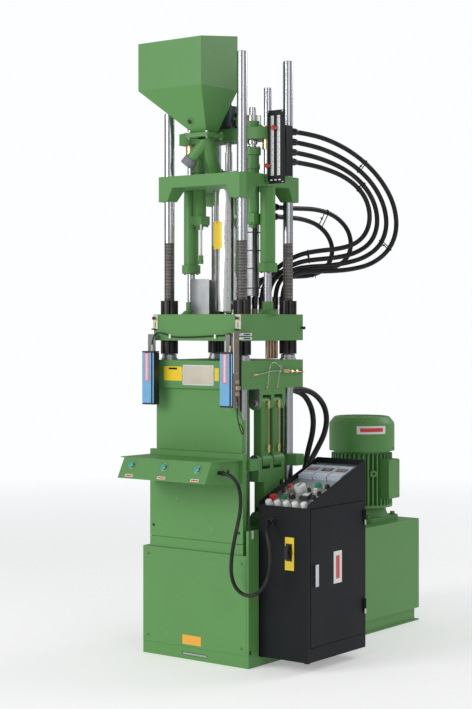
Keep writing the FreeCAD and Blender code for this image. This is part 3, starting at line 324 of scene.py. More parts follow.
@dataclass(frozen=True)
class Enamel(Finish):
    """Sprayed machine enamel with orange peel, faint dust and small scuffs."""

    coat: float = 0.25
    peel: float = 0.06
    scuff: float = 0.5
    gloss: float = 0.5

    def dress(self, graph: Graph) -> None:
        """Fill the graph with cloudy colour, scuffs and orange peel.

        Args:
            graph: the finish's own graph.
        """
        cloud = graph.noise(3.5, 4.0)
        grain = graph.noise(120.0, 3.0)
        tone = cloud * 0.75 + grain * 0.25
        paint = graph.mix(tone, shade(self.colour, 0.86), shade(self.colour, 1.12))
        worn = (graph.noise(46.0, 6.0, (1, 1, 0.35)) > 0.715) * self.scuff
        paint = graph.mix(worn, paint, shade(self.colour, 1.55))
        dust = graph.noise(9.0, 5.0) ** 3.0 * 0.35
        paint = graph.mix(dust, paint, shade(self.colour, 0.72))
        graph.feed("Base Color", paint)
        graph.feed("Roughness", cloud * 0.16 + grain * 0.08 + worn * 0.2 + (self.roughness - 0.12))
        graph.feed("Coat Weight", self.coat)
        graph.feed("Coat Roughness", 0.18)
        graph.feed("Specular IOR Level", self.gloss)
        graph.bump(graph.noise(380.0, 1.0) * 0.8 + graph.noise(40.0, 2.0) * 0.2, self.peel, 0.0006)


@dataclass(frozen=True)
class Metal(Finish):
    """Bare metal with brush or turning marks along one axis."""

    streak: Point = (1.0, 1.0, 1.0)
    stain: float = 0.25
    stain_colour: Colour = (0.2, 0.17, 0.13)
    dent: float = 0.0
    score: float = 0.08

    def dress(self, graph: Graph) -> None:
        """Fill the graph with streaks, smears of oil, shallow dents and fine scratches.

        Args:
            graph: the finish's own graph.
        """
        marks = graph.noise(260.0, 3.0, self.streak)
        smear = graph.noise(14.0, 5.0)
        bright = graph.mix(marks, shade(self.colour, 0.84), shade(self.colour, 1.1))
        graph.feed("Base Color", graph.mix(smear ** 3.0 * self.stain * 3.0, bright, self.stain_colour))
        graph.feed("Metallic", 1.0)
        graph.feed("Roughness", marks * self.score + smear * 0.14 + (self.roughness - 0.1))
        if self.dent:
            graph.bump(graph.noise(16.0, 1.0, (1, 1, 0.45)), self.dent, 0.006)
        else:
            graph.bump(marks, self.score, 0.0003)


@dataclass(frozen=True)
class GreasyThread(Finish):
    """Threaded steel with dark grease in its roots."""

    def dress(self, graph: Graph) -> None:
        """Fill the graph with bare steel under patchy brown grease.

        Args:
            graph: the finish's own graph.
        """
        patch = graph.noise(38.0, 5.0, (0.6, 0.6, 2.2))
        wave = {"Vector": graph.place, "Scale": 52.4, "Distortion": 0.8, "Detail": 2.0}
        root = graph.node("ShaderNodeTexWave", {"bands_direction": "Z"}, wave, 1)
        tone = patch * 0.46 + root * 0.54
        stops = [(0.26, (0.34, 0.32, 0.31)), (0.44, (0.085, 0.07, 0.064)), (0.66, (0.022, 0.018, 0.016))]
        graph.feed("Base Color", graph.ramp(tone, stops))
        graph.feed("Metallic", 1.0 - tone * 0.8)
        graph.feed("Roughness", tone * 0.3 + 0.2)
        graph.bump(graph.noise(420.0, 3.0), 0.2, 0.0004)


@dataclass(frozen=True)
class Moulded(Finish):
    """Moulded plastic with a fine texture."""

    grain: float = 900.0
    depth: float = 0.08
    coat: float = 0.0

    def dress(self, graph: Graph) -> None:
        """Fill the graph with slight colour drift and a moulded grain.

        Args:
            graph: the finish's own graph.
        """
        drift = graph.noise(25.0, 3.0)
        graph.feed("Base Color", graph.mix(drift, shade(self.colour, 0.88), shade(self.colour, 1.08)))
        graph.feed("Roughness", drift * 0.15 + (self.roughness - 0.07))
        graph.feed("Coat Weight", self.coat)
        graph.bump(graph.noise(self.grain, 2.0), self.depth, 0.0004)


@dataclass(frozen=True)
class HoseRubber(Finish):
    """Wrapped hose rubber: black, slightly shiny, with chalky scuffs."""

    def dress(self, graph: Graph) -> None:
        """Fill the graph with wrap marks and pale rubbed patches.

        Args:
            graph: the finish's own graph.
        """
        wrap = graph.noise(240.0, 3.0)
        rub = graph.noise(22.0, 6.0) ** 4.0
        black = graph.mix(wrap, shade(self.colour, 0.7), shade(self.colour, 1.5))
        graph.feed("Base Color", graph.mix(rub * 1.6, black, (0.07, 0.062, 0.054)))
        graph.feed("Roughness", wrap * 0.16 + rub * 0.4 + (self.roughness - 0.1))
        graph.feed("Specular IOR Level", 0.3)
        graph.bump(wrap * 0.7 + graph.noise(900.0, 1.0) * 0.3, 0.22, 0.0006)


@dataclass(frozen=True)
class ClearTube(Finish):
    """Clear plastic."""

    def dress(self, graph: Graph) -> None:
        """Fill the graph with clear, slightly yellowed plastic.

        Args:
            graph: the finish's own graph.
        """
        haze = graph.noise(180.0, 2.0)
        graph.feed("Base Color", graph.mix(haze, shade(self.colour, 0.92), self.colour))
        graph.feed("Roughness", haze * 0.1 + 0.08)
        graph.shader.inputs["Transmission Weight"].default_value = 0.55
        graph.shader.inputs["IOR"].default_value = 1.45


@dataclass(frozen=True)
class Sheet(Finish):
    """A stuck-on plain label: flat colour print under a thin film."""

    def dress(self, graph: Graph) -> None:
        """Fill the graph with uneven ink and tiny creases.

        Args:
            graph: the finish's own graph.
        """
        ink = graph.noise(70.0, 4.0)
        fleck = graph.noise(700.0, 1.0) > 0.66
        ground = graph.mix(ink, shade(self.colour, 0.9), shade(self.colour, 1.06))
        graph.feed("Base Color", graph.mix(fleck * 0.12, ground, shade(self.colour, 0.6)))
        graph.feed("Roughness", ink * 0.2 + (self.roughness - 0.1))
        graph.feed("Coat Weight", 0.3)
        graph.bump(ink, 0.1, 0.0003)


@dataclass(frozen=True)
class Ground(Finish):
    """A pale studio floor that fades out into the white surround."""

    reach: float = 7.5
    fade: float = 4.5
    glow: float = 0.38

    def dress(self, graph: Graph) -> None:
        """Fill the graph with pale paint that grows clear far from the machine.

        Args:
            graph: the finish's own graph.
        """
        tint = graph.noise(0.8, 2.0)
        pale = graph.mix(tint, shade(self.colour, 0.985), self.colour)
        graph.feed("Base Color", pale)
        graph.feed("Emission Color", pale)
        graph.shader.inputs["Emission Strength"].default_value = self.glow
        graph.feed("Roughness", tint * 0.1 + (self.roughness - 0.05))
        away = graph.node("ShaderNodeVectorMath", {"operation": "LENGTH"}, {0: graph.place}, 1)
        clamped = {"operation": "MULTIPLY", "use_clamp": True}
        graph.feed("Alpha", graph.node("ShaderNodeMath", clamped, {0: self.reach - away, 1: 1.0 / self.fade}))


GREEN = Enamel("machine_green", "green_paint", (0.102, 0.29, 0.074), 0.5, coat=0.08)
CAST_GREEN = Enamel("casting_green", "green_paint", (0.095, 0.275, 0.07), 0.52, coat=0.06, peel=0.22)
BLACK = Enamel("cabinet_black", "black_paint", (0.005, 0.0068, 0.0085), 0.5, 0.0, 0.12, 0.1, 0.22)
GREY = Enamel("shelf_edge_grey", "grey_paint", (0.2, 0.22, 0.2), 0.45)
CHROME = Metal("hard_chrome", "chrome_bar", (0.6, 0.61, 0.66), 0.25, (1, 1, 0.02), 0.1, score=0.01)
STEEL = Metal("turned_steel", "bright_steel", (0.62, 0.63, 0.64), 0.34, (1, 1, 6), 0.3)
ZINC = Metal("zinc_plate", "bright_steel", (0.66, 0.65, 0.6), 0.36, (1, 1, 1), 0.3)
SHEET_STEEL = Metal("mill_sheet", "stainless", (0.95, 0.96, 0.95), 0.16, (6, 6, 0.4), 0.02, dent=0.35)
GALVANISED = Metal("grey_sheet", "stainless", (0.5, 0.52, 0.54), 0.42, (1, 1, 1), 0.3)
OXIDE = Metal("black_oxide", "dark_steel", (0.045, 0.046, 0.052), 0.34, (1, 1, 2), 0.3)
BRONZE = Metal("bronze_pin", "brass_metal", (0.62, 0.44, 0.3), 0.34, (1, 1, 4), 0.35)
BRASS = Metal("brass_fitting", "brass_metal", (0.88, 0.68, 0.34), 0.24, (1, 1, 4), 0.3)
COPPER = Metal("copper_line", "brass_metal", (0.62, 0.42, 0.26), 0.32, (1, 1, 4), 0.35)
THREAD = GreasyThread("greasy_thread", "chrome_bar", (0.2, 0.18, 0.16), 0.35)
RUBBER = HoseRubber("hose_rubber", "rubber_hose", (0.006, 0.006, 0.007), 0.4)
BLUE = Moulded("sensor_blue", "blue_plastic", (0.16, 0.42, 0.7), 0.38)
BLACK_PLASTIC = Moulded("black_moulding", "black_plastic", (0.014, 0.014, 0.016), 0.42)
WHITE_PLASTIC = Moulded("white_moulding", "white_plastic", (0.78, 0.79, 0.78), 0.35)
STRIP = Moulded("terminal_strip", "grey_plastic", (0.2, 0.165, 0.135), 0.5)
BEIGE = Moulded("beige_moulding", "white_plastic", (0.66, 0.63, 0.46), 0.45)
TEAL = Moulded("teal_button", "teal_plastic", (0.05, 0.36, 0.27), 0.3, coat=0.4)
RED = Moulded("red_button", "red_plastic", (0.62, 0.02, 0.018), 0.3, coat=0.4)
SIGNAL_GREEN = Moulded("green_button", "go_plastic", (0.01, 0.25, 0.13), 0.3, coat=0.4)
CAP_GREY = Moulded("grey_cap", "grey_plastic", (0.2, 0.21, 0.23), 0.6, 300.0, 0.3)
CASE_GREY = Moulded("controller_case", "grey_plastic", (0.5, 0.56, 0.66), 0.4)
DARK_CASE = Moulded("controller_window", "black_plastic", (0.03, 0.035, 0.045), 0.18, coat=0.6)
ALLOY = Metal("console_alloy", "bright_steel", (0.66, 0.68, 0.69), 0.4, (6, 0.4, 1), 0.12)
PLATE = Metal("etched_plate", "bright_steel", (0.62, 0.57, 0.48), 0.42, (6, 1, 1), 0.3)
YELLOW_FIELD = Sheet("yellow_field", "white_plastic", (0.88, 0.62, 0.01), 0.4)
ORANGE_FIELD = Sheet("orange_field", "white_plastic", (0.9, 0.42, 0.03), 0.4)
WHITE_FIELD = Sheet("white_field", "white_plastic", (0.8, 0.8, 0.78), 0.4)
PINK_FIELD = Sheet("pink_field", "white_plastic", (0.72, 0.38, 0.46), 0.4)
RED_FIELD = Sheet("red_field", "red_plastic", (0.7, 0.04, 0.03), 0.4)
TUBE = ClearTube("clear_tube", "white_plastic", (0.8, 0.82, 0.74), 0.1)
MOTOR_CAST = Enamel("motor_casting", "black_paint", (0.05, 0.072, 0.076), 0.4, coat=0.2, peel=0.3)
FLOOR = Ground("pale_floor", "white_plastic", (0.86, 0.86, 0.86), 0.75)

# ---------------------------------------------------------------- hose routes
UPPER_ROUTES: tuple[tuple[Point, ...], ...] = (
    (
        (0.232, 0.1, 2.145), (0.264, 0.195, 2.142), (0.308, 0.31, 2.118), (0.356, 0.43, 2.064),
        (0.394, 0.54, 1.98), (0.414, 0.624, 1.876), (0.416, 0.65, 1.764), (0.398, 0.616, 1.672),
        (0.358, 0.54, 1.61), (0.306, 0.458, 1.586), (0.253, 0.38, 1.578), (0.218, 0.312, 1.576),
        (0.183, 0.256, 1.574), (0.153, 0.214, 1.546), (0.136, 0.19, 1.494), (0.136, 0.19, 1.434),
    ),
    (
        (0.232, 0.1, 2.104), (0.26, 0.195, 2.098), (0.3, 0.31, 2.074), (0.342, 0.425, 2.024),
        (0.374, 0.52, 1.952), (0.39, 0.585, 1.864), (0.392, 0.606, 1.77), (0.376, 0.576, 1.688),
        (0.342, 0.504, 1.636), (0.294, 0.43, 1.612), (0.242, 0.366, 1.6), (0.192, 0.306, 1.596),
        (0.152, 0.256, 1.586), (0.118, 0.214, 1.552), (0.1, 0.19, 1.496), (0.1, 0.19, 1.434),
    ),
    (
        (0.232, 0.1, 2.062), (0.256, 0.19, 2.056), (0.29, 0.3, 2.036), (0.326, 0.405, 1.998),
        (0.352, 0.49, 1.942), (0.366, 0.552, 1.866), (0.368, 0.57, 1.778), (0.354, 0.54, 1.702),
        (0.322, 0.47, 1.656), (0.276, 0.4, 1.636), (0.222, 0.34, 1.628), (0.168, 0.292, 1.62),
        (0.124, 0.25, 1.596), (0.084, 0.212, 1.552), (0.064, 0.19, 1.494), (0.064, 0.19, 1.434),
    ),
    (
        (0.232, 0.1, 2.022), (0.252, 0.19, 2.018), (0.282, 0.29, 2.004), (0.312, 0.385, 1.978),
        (0.336, 0.46, 1.936), (0.35, 0.512, 1.88), (0.354, 0.532, 1.808), (0.346, 0.512, 1.74),
        (0.326, 0.46, 1.694), (0.286, 0.394, 1.672), (0.228, 0.334, 1.664), (0.166, 0.282, 1.65),
        (0.104, 0.24, 1.612), (0.057, 0.206, 1.558), (0.028, 0.19, 1.494), (0.028, 0.19, 1.434),
    ),
)
LOWER_ROUTES: tuple[tuple[Point, ...], ...] = (
    (
        (0.146, 0.1, 1.84), (0.148, 0.19, 1.838), (0.156, 0.288, 1.842), (0.168, 0.386, 1.844),
        (0.182, 0.476, 1.832), (0.194, 0.55, 1.8), (0.202, 0.6, 1.752), (0.206, 0.61, 1.688),
        (0.202, 0.574, 1.632), (0.19, 0.51, 1.6), (0.168, 0.44, 1.59), (0.134, 0.378, 1.586),
        (0.096, 0.322, 1.582), (0.05, 0.266, 1.574), (0.012, 0.216, 1.544), (-0.008, 0.19, 1.49),
        (-0.008, 0.19, 1.434),
    ),
    (
        (0.146, 0.1, 1.8), (0.142, 0.182, 1.8), (0.138, 0.27, 1.802), (0.14, 0.356, 1.798),
        (0.148, 0.436, 1.78), (0.156, 0.498, 1.742), (0.16, 0.532, 1.688), (0.156, 0.524, 1.626),
        (0.142, 0.476, 1.582), (0.118, 0.424, 1.562), (0.084, 0.372, 1.558), (0.04, 0.32, 1.556),
        (-0.004, 0.268, 1.552), (-0.032, 0.222, 1.532), (-0.044, 0.19, 1.484), (-0.044, 0.19, 1.434),
    ),
)
REAR_ROUTES: tuple[tuple[Point, ...], ...] = (
    (
        (0.142, 0.213, 1.076), (0.142, 0.262, 1.078), (0.15, 0.322, 1.078), (0.16, 0.396, 1.056),
        (0.168, 0.452, 1.008), (0.17, 0.474, 0.948), (0.166, 0.462, 0.884), (0.158, 0.424, 0.828),
        (0.148, 0.382, 0.772), (0.14, 0.352, 0.712), (0.138, 0.344, 0.66), (0.138, 0.344, 0.61),
    ),
    (
        (0.104, 0.213, 1.074), (0.104, 0.254, 1.076), (0.114, 0.306, 1.074), (0.126, 0.366, 1.052),
        (0.132, 0.408, 1), (0.134, 0.424, 0.94), (0.13, 0.42, 0.88), (0.12, 0.406, 0.82),
        (0.11, 0.398, 0.76), (0.104, 0.396, 0.706), (0.1, 0.396, 0.656), (0.1, 0.396, 0.61),
    ),
)
CONDUIT_ROUTE: tuple[Point, ...] = (
    (0.223, -0.353, 0.777), (0.27, -0.353, 0.777), (0.31, -0.347, 0.746), (0.318, -0.337, 0.694),
    (0.309, -0.326, 0.64), (0.288, -0.315, 0.582), (0.26, -0.304, 0.508), (0.24, -0.295, 0.44),
    (0.232, -0.287, 0.376), (0.246, -0.279, 0.324), (0.286, -0.272, 0.296), (0.336, -0.266, 0.302),
    (0.374, -0.26, 0.338), (0.392, -0.252, 0.388), (0.394, -0.246, 0.44), (0.388, -0.242, 0.488),
    (0.374, -0.238, 0.532), (0.35, -0.216, 0.568), (0.338, -0.16, 0.58),
)

ISOLATOR: Flat = (0.42, 0.464)
PIVOT_X = 0.197
GUIDE_X = 0.2
INJECTION: Flat = (0.138, -0.02)


# ---------------------------------------------------------------- mesh building
class Form:
    """A mesh gathered from operator-made parts, each with its own finish."""

    def __init__(self) -> None:
        """Start with nothing in the mesh."""
        self.mesh = bmesh.new()
        self.finishes: list[Finish] = []

    def take(self, part: bmesh.types.BMesh, finish: Finish) -> None:
        """Move a finished part into this form.

        Args:
            part: the part's mesh, freed here.
            finish: the finish of all its faces.
        """
        if finish not in self.finishes:
            self.finishes.append(finish)
        index = self.finishes.index(finish)
        bmesh.ops.recalc_face_normals(part, faces=part.faces)
        for face in part.faces:
            face.material_index = index
        carrier = bpy.data.meshes.new("carrier")
        part.to_mesh(carrier)
        part.free()
        self.mesh.from_mesh(carrier)
        bpy.data.meshes.remove(carrier)

    @staticmethod
    def soften(part: bmesh.types.BMesh, width: float, angle: float = 0.6) -> None:
        """Bevel a part's sharp edges.

        Args:
            part: the mesh to bevel.
            width: the bevel's width in metres, or 0 for none.
            angle: the least angle of an edge that is bevelled.
        """
        if width <= 0:
            return
        sharp = [e for e in part.edges if len(e.link_faces) == 2 and e.calc_face_angle(0.0) > angle]
        bmesh.ops.bevel(
            part, geom=sharp, offset=width, affect="EDGES", segments=2, profile=0.5, material=-1,
            clamp_overlap=True,
        )

    def box(self, low: Point, high: Point, finish: Finish, soft: float = 0.001) -> None:
        """Add a box with softened edges.

        Args:
            low: its lowest corner.
            high: its highest corner.
            finish: its finish.
            soft: its edge bevel in metres.
        """
        part = bmesh.new()
        bmesh.ops.create_cube(part, size=1.0)
        size = Vector(high) - Vector(low)
        bmesh.ops.scale(part, vec=size, verts=part.verts)
        bmesh.ops.translate(part, vec=(Vector(low) + Vector(high)) / 2, verts=part.verts)
        self.soften(part, min(soft, min(size) * 0.4))
        self.take(part, finish)

    def tile(
        self, seat: Point, way: Point, size: Point, finish: Finish, up: Point = UP, soft: float = 0.0003
    ) -> None:
        """Add a flat block that stands on a face.

        Args:
            seat: the middle of its foot.
            way: the way it faces.
            size: its width, height and thickness.
            finish: its finish.
            up: roughly the way of its height.
            soft: its edge bevel in metres.
        """
        normal = Vector(way).normalized()
        right = Vector(up).cross(normal).normalized()
        turn = Matrix((right, normal.cross(right), normal)).transposed()
        part = bmesh.new()
        bmesh.ops.create_cube(part, size=1.0)
        bmesh.ops.translate(part, vec=(0, 0, 0.5), verts=part.verts)
        bmesh.ops.scale(part, vec=size, verts=part.verts)
        bmesh.ops.rotate(part, cent=(0, 0, 0), matrix=turn, verts=part.verts)
        bmesh.ops.translate(part, vec=seat, verts=part.verts)
        self.soften(part, min(soft, min(size) * 0.4))
        self.take(part, finish)

    def screw(self, base: Point, way: Point, radius: float, finish: Finish = ZINC) -> None:
        """Add a pan-head screw with a cross recess.

        Args:
            base: the middle of its seat.
            way: the way the head points.
            radius: the head's radius.
            finish: its finish.
        """
        height = radius * 0.42
        profile = [(0, 0), (radius, 0), (radius * 0.96, height * 0.5), (radius * 0.72, height), (0, height)]
        self.turn(profile, base, way, finish, 24)
        top = tuple(Vector(base) + Vector(way).normalized() * height)
        up = BEHIND if abs(Vector(way).normalized().z) > 0.8 else UP
        for wide, tall in ((1.1, 0.24), (0.24, 1.1)):
            self.tile(top, way, (radius * wide, radius * tall, radius * 0.02), OXIDE, up, 0)

    def skin(self, rings: Sequence[Sequence[Point]], finish: Finish, soft: float) -> None:
        """Add a closed shell through rings of corners, the last ring joined to the first.

        Args:
            rings: rings with the same number of corners.
            finish: its finish.
            soft: its edge bevel in metres.
        """
        part = bmesh.new()
        made = [[part.verts.new(corner) for corner in ring] for ring in rings]
        for one, other in zip(made, made[1:] + made[:1]):
            for k in range(len(one)):
                j = (k + 1) % len(one)
                part.faces.new((one[k], one[j], other[j], other[k]))
        bmesh.ops.recalc_face_normals(part, faces=part.faces)
        self.soften(part, soft, 0.1)
        self.take(part, finish)

    def bent_sheet(
        self, axis: Flat, radii: Flat, span: tuple[int, int], heights: Flat, finish: Finish
    ) -> None:
        """Add a thin sheet bent round an upright axis.

        Args:
            axis: the axis, seen from above.
            radii: its inner and outer radius.
            span: its first and last angle in degrees.
            heights: its foot and its top.
            finish: its finish.
        """
        turns = [math.radians(angle) for angle in range(span[0], span[1] + 1, BEND_STEP)]
        low, high = heights
        part = bmesh.new()
        corners = []
        for radius, angles in zip(radii, (turns, turns[::-1])):
            for a in angles:
                corners.append((axis[0] + radius * math.cos(a), axis[1] + radius * math.sin(a), low))
        face = part.faces.new([part.verts.new(corner) for corner in corners])
        grown = bmesh.ops.extrude_face_region(part, geom=[face])["geom"]
        moved = [v for v in grown if isinstance(v, bmesh.types.BMVert)]
        bmesh.ops.translate(part, vec=(0, 0, high - low), verts=moved)
        self.take(part, finish)

    def turn(self, profile: Sequence[Flat], base: Point, way: Point, finish: Finish, sides: int = 32) -> None:
        """Add a turned shape.

        Args:
            profile: (radius, height) pairs from one end to the other.
            base: where height 0 is.
            way: the axis direction.
            finish: its finish.
            sides: how many faces go round.
        """
        part = bmesh.new()
        points = [part.verts.new((max(r, 0.0), 0.0, h)) for r, h in profile]
        edges = [part.edges.new(pair) for pair in zip(points, points[1:])]
        bmesh.ops.spin(
            part, geom=points + edges, cent=(0, 0, 0), axis=UP, angle=2 * math.pi, steps=sides, use_merge=True
        )
        bmesh.ops.remove_doubles(part, verts=part.verts, dist=MERGE)
        aim = Vector(UP).rotation_difference(Vector(way)).to_matrix()
        bmesh.ops.rotate(part, cent=(0, 0, 0), matrix=aim, verts=part.verts)
        bmesh.ops.translate(part, vec=base, verts=part.verts)
        self.take(part, finish)

    def rod(
        self, base: Point, way: Point, length: float, radius: float, finish: Finish, sides: int = 28,
        soft: float = 0.0006,
    ) -> None:
        """Add a round or many-sided rod with softened ends.

        Args:
            base: the middle of its first end.
            way: its direction.
            length: its length.
            radius: its radius, to the corners if it has few sides.
            finish: its finish.
            sides: how many faces go round.
            soft: its end bevel in metres.
        """
        soft = min(soft, radius * 0.4, length * 0.4)
        profile = [(0, 0), (radius - soft, 0), (radius, soft)]
        profile += [(radius, length - soft), (radius - soft, length), (0, length)]
        self.turn(profile, base, way, finish, sides)

    def ring(
        self, base: Point, way: Point, inner: float, outer: float, height: float, finish: Finish,
        sides: int = 32,
    ) -> None:
        """Add a flat ring with a hole.

        Args:
            base: the middle of its first face.
            way: its axis direction.
            inner: the hole's radius.
            outer: the outer radius.
            height: its height.
            finish: its finish.
            sides: how many faces go round.
        """
        soft = min(0.0008, (outer - inner) * 0.3, height * 0.3)
        profile = [(inner, 0), (outer - soft, 0), (outer, soft), (outer, height - soft)]
        profile += [(outer - soft, height), (inner, height), (inner, 0)]
        self.turn(profile, base, way, finish, sides)

    def button(self, face: Point, way: Point, radius: float, height: float, finish: Finish) -> None:
        """Add a push button that stands proud of its panel by its travel.

        Args:
            face: the middle of its hole, on the panel.
            way: the way it faces.
            radius: the cap's radius.
            height: the cap's height.
            finish: its finish.
        """
        foot, stem = BUTTON_LIFT, radius - BUTTON_LIP
        top = foot + height
        soft = min(radius * 0.2, height * 0.35)
        profile = [(0, -BUTTON_DEPTH), (stem, -BUTTON_DEPTH), (stem, foot), (radius - 0.0006, foot)]
        profile += [(radius, foot + 0.0006), (radius, top - soft), (radius - soft * 0.3, top - soft * 0.35)]
        profile += [(radius - soft, top - 0.0002), (radius * 0.4, top), (0, top)]
        self.turn(profile, face, way, finish, 40)

    def bolt(self, base: Point, way: Point, across: float, height: float, finish: Finish = ZINC) -> None:
        """Add a hexagon head on a washer.

        Args:
            base: the middle of the washer's seat.
            way: the way the head points.
            across: the head's width across corners.
            height: the head's height.
            finish: its finish.
        """
        self.rod(base, way, height * 0.2, across * 0.62, finish, 20, 0.0003)
        top = Vector(base) + Vector(way).normalized() * height * 0.2
        self.rod(tuple(top), way, height * 0.8, across / 2, finish, 6, 0.0008)

    def ball(self, centre: Point, radius: float, finish: Finish, sides: int = 24) -> None:
        """Add a ball.

        Args:
            centre: its centre.
            radius: its radius.
            finish: its finish.
            sides: how many faces go round.
        """
        part = bmesh.new()
        bmesh.ops.create_uvsphere(part, u_segments=sides, v_segments=sides // 2, radius=radius)
        bmesh.ops.translate(part, vec=centre, verts=part.verts)
        self.take(part, finish)

    def pipe(self, route: Sequence[Point], radius: float, finish: Finish) -> None:
        """Add a small bent pipe with closed ends along a smooth route.

        Args:
            route: its control points.
            radius: its radius.
            finish: its finish.
        """
        part = bmesh.new()
        mesh = curve_mesh(route, radius)
        part.from_mesh(mesh)
        bpy.data.meshes.remove(mesh)
        self.take(part, finish)

    def place(self, name: str, body: Body, *nodes: str, weighted: bool = True) -> None:
        """Make the piece and let it ride on its body.

        Args:
            name: the piece's name.
            body: the body that it rides on.
            nodes: the CAD nodes that it stands for.
            weighted: whether flat faces keep flat shading beside soft edges.
        """
        piece = settle(name, self.mesh, self.finishes)
        if weighted:
            piece.modifiers.new("flat_faces", "WEIGHTED_NORMAL").keep_sharp = True
        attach(piece, body.value)
        if nodes:
            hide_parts(*nodes)
        log.info("built %s on %s", name, body.value)


def settle(name: str, mesh: bmesh.types.BMesh, finishes: Sequence[Finish]) -> bpy.types.Object:
    """Turn a bmesh into an object at the origin.

    Args:
        name: the object's name.
        mesh: its mesh, freed here.
        finishes: its finishes, in material order.

    Returns:
        The new object.
    """
    data = bpy.data.meshes.new(name)
    mesh.to_mesh(data)
    mesh.free()
    for finish in finishes:
        data.materials.append(finish.material())
    data.shade_smooth()
    data.set_sharp_from_angle(angle=SMOOTH_ANGLE)
    piece = bpy.data.objects.new(name, data)
    bpy.context.scene.collection.objects.link(piece)
    return piece


def curve_mesh(route: Sequence[Point], radius: float) -> bpy.types.Mesh:
    """Return the mesh of a smooth NURBS tube or line with the route as its control points.

    Args:
        route: the control points in metres.
        radius: the tube's radius, or 0 for a bare line.

    Returns:
        The mesh, which belongs to no object.
    """
    data = bpy.data.curves.new("route", "CURVE")
    data.dimensions = "3D"
    data.bevel_depth = radius
    data.bevel_resolution = 5
    data.use_fill_caps = True
    data.resolution_u = 8
    spline = data.splines.new("NURBS")
    spline.points.add(len(route) - 1)
    for point, place in zip(spline.points, route):
        point.co = (*place, 1.0)
    spline.order_u = 3
    spline.use_endpoint_u = True
    curve = bpy.data.objects.new("route", data)
    bpy.context.scene.collection.objects.link(curve)
    bpy.context.view_layer.update()
    graph = bpy.context.evaluated_depsgraph_get()
    mesh = bpy.data.meshes.new_from_object(curve.evaluated_get(graph))
    bpy.data.objects.remove(curve)
    bpy.data.curves.remove(data)
    return mesh


def around(centre: Point, radius: float, count: int, first: float = 0.0) -> Iterator[Point]:
    """Give evenly spaced spots on a level circle.

    Args:
        centre: the circle's centre.
        radius: its radius.
        count: how many spots go round it.
        first: the first spot's angle in degrees.

    Yields:
        Each spot.
    """
    for k in range(count):
        angle = math.radians(first + 360 * k / count)
        yield (centre[0] + radius * math.cos(angle), centre[1] + radius * math.sin(angle), centre[2])


def rectangle(left: float, right: float, front: float, rear: float, low: float, high: float) -> list[Point]:
    """Return a rectangle's corners, at one height in front and another at the rear."""
    return [(left, front, low), (right, front, low), (right, rear, high), (left, rear, high)]


def pin_ends(x: float, reach: float, z: float, half: float = 0.0152) -> tuple[Region, Region]:
    """Return the boxes round a pivot pin on the left and on the right."""
    left, right = (
        ((side * x - half, -reach, z - half), (side * x + half, reach, z + half)) for side in (-1, 1)
    )
    return left, right


class CadParts:
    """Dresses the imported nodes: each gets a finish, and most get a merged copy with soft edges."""

    def __init__(self, frame: dict) -> None:
        """Keep the loaded frame.
        """
        self.nodes: dict[str, bpy.types.Object] = frame["nodes"]
        self.body_of: dict[str, str] = {}
        for body, members in frame["record"]["behaviour"]["bodies"].items():
            for node in members:
                self.body_of[node] = body

    def finish_plain(self, finish: Finish, *names: str) -> None:
        """Give nodes whose shape stays as it is a finish.

        Args:
            finish: the finish of each of them.
            names: the nodes.
        """
        for name in names:
            node = self.nodes[name]
            node.data.materials.clear()
            node.data.materials.append(finish.material())

    def soft_copy(
        self, name: str, finish: Finish, width: float = 0.0012, *painted: tuple[Finish, Sequence[Region]]
    ) -> None:
        """Stand a merged copy with bevelled edges in for a node.

        Args:
            name: the node.
            finish: its finish.
            width: the bevel's width in metres.
            painted: further finishes, each with the boxes whose faces have it.
        """
        mesh = bmesh.new()
        mesh.from_mesh(self.nodes[name].data)
        bmesh.ops.remove_doubles(mesh, verts=mesh.verts, dist=MERGE)
        bmesh.ops.dissolve_limit(mesh, angle_limit=math.radians(0.5), verts=mesh.verts, edges=mesh.edges)
        for face in mesh.faces:
            face.material_index = 0
        piece = settle(name + "_dressed", mesh, (finish, *(other for other, _ in painted)))
        for index, (_, regions) in enumerate(painted, 1):
            for face in piece.data.polygons:
                if any(inside(face.center, region) for region in regions):
                    face.material_index = index
        bevel = piece.modifiers.new("soft_edges", "BEVEL")
        bevel.width = width
        bevel.segments = 2
        bevel.limit_method = "ANGLE"
        bevel.angle_limit = math.radians(40)
        piece.modifiers.new("flat_faces", "WEIGHTED_NORMAL").keep_sharp = True
        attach(piece, self.body_of[name])
        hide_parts(name)


def inside(point: Point, region: Region) -> bool:
    """Return whether a point lies in a box."""
    return all(low <= place <= high for low, place, high in zip(region[0], point, region[1]))


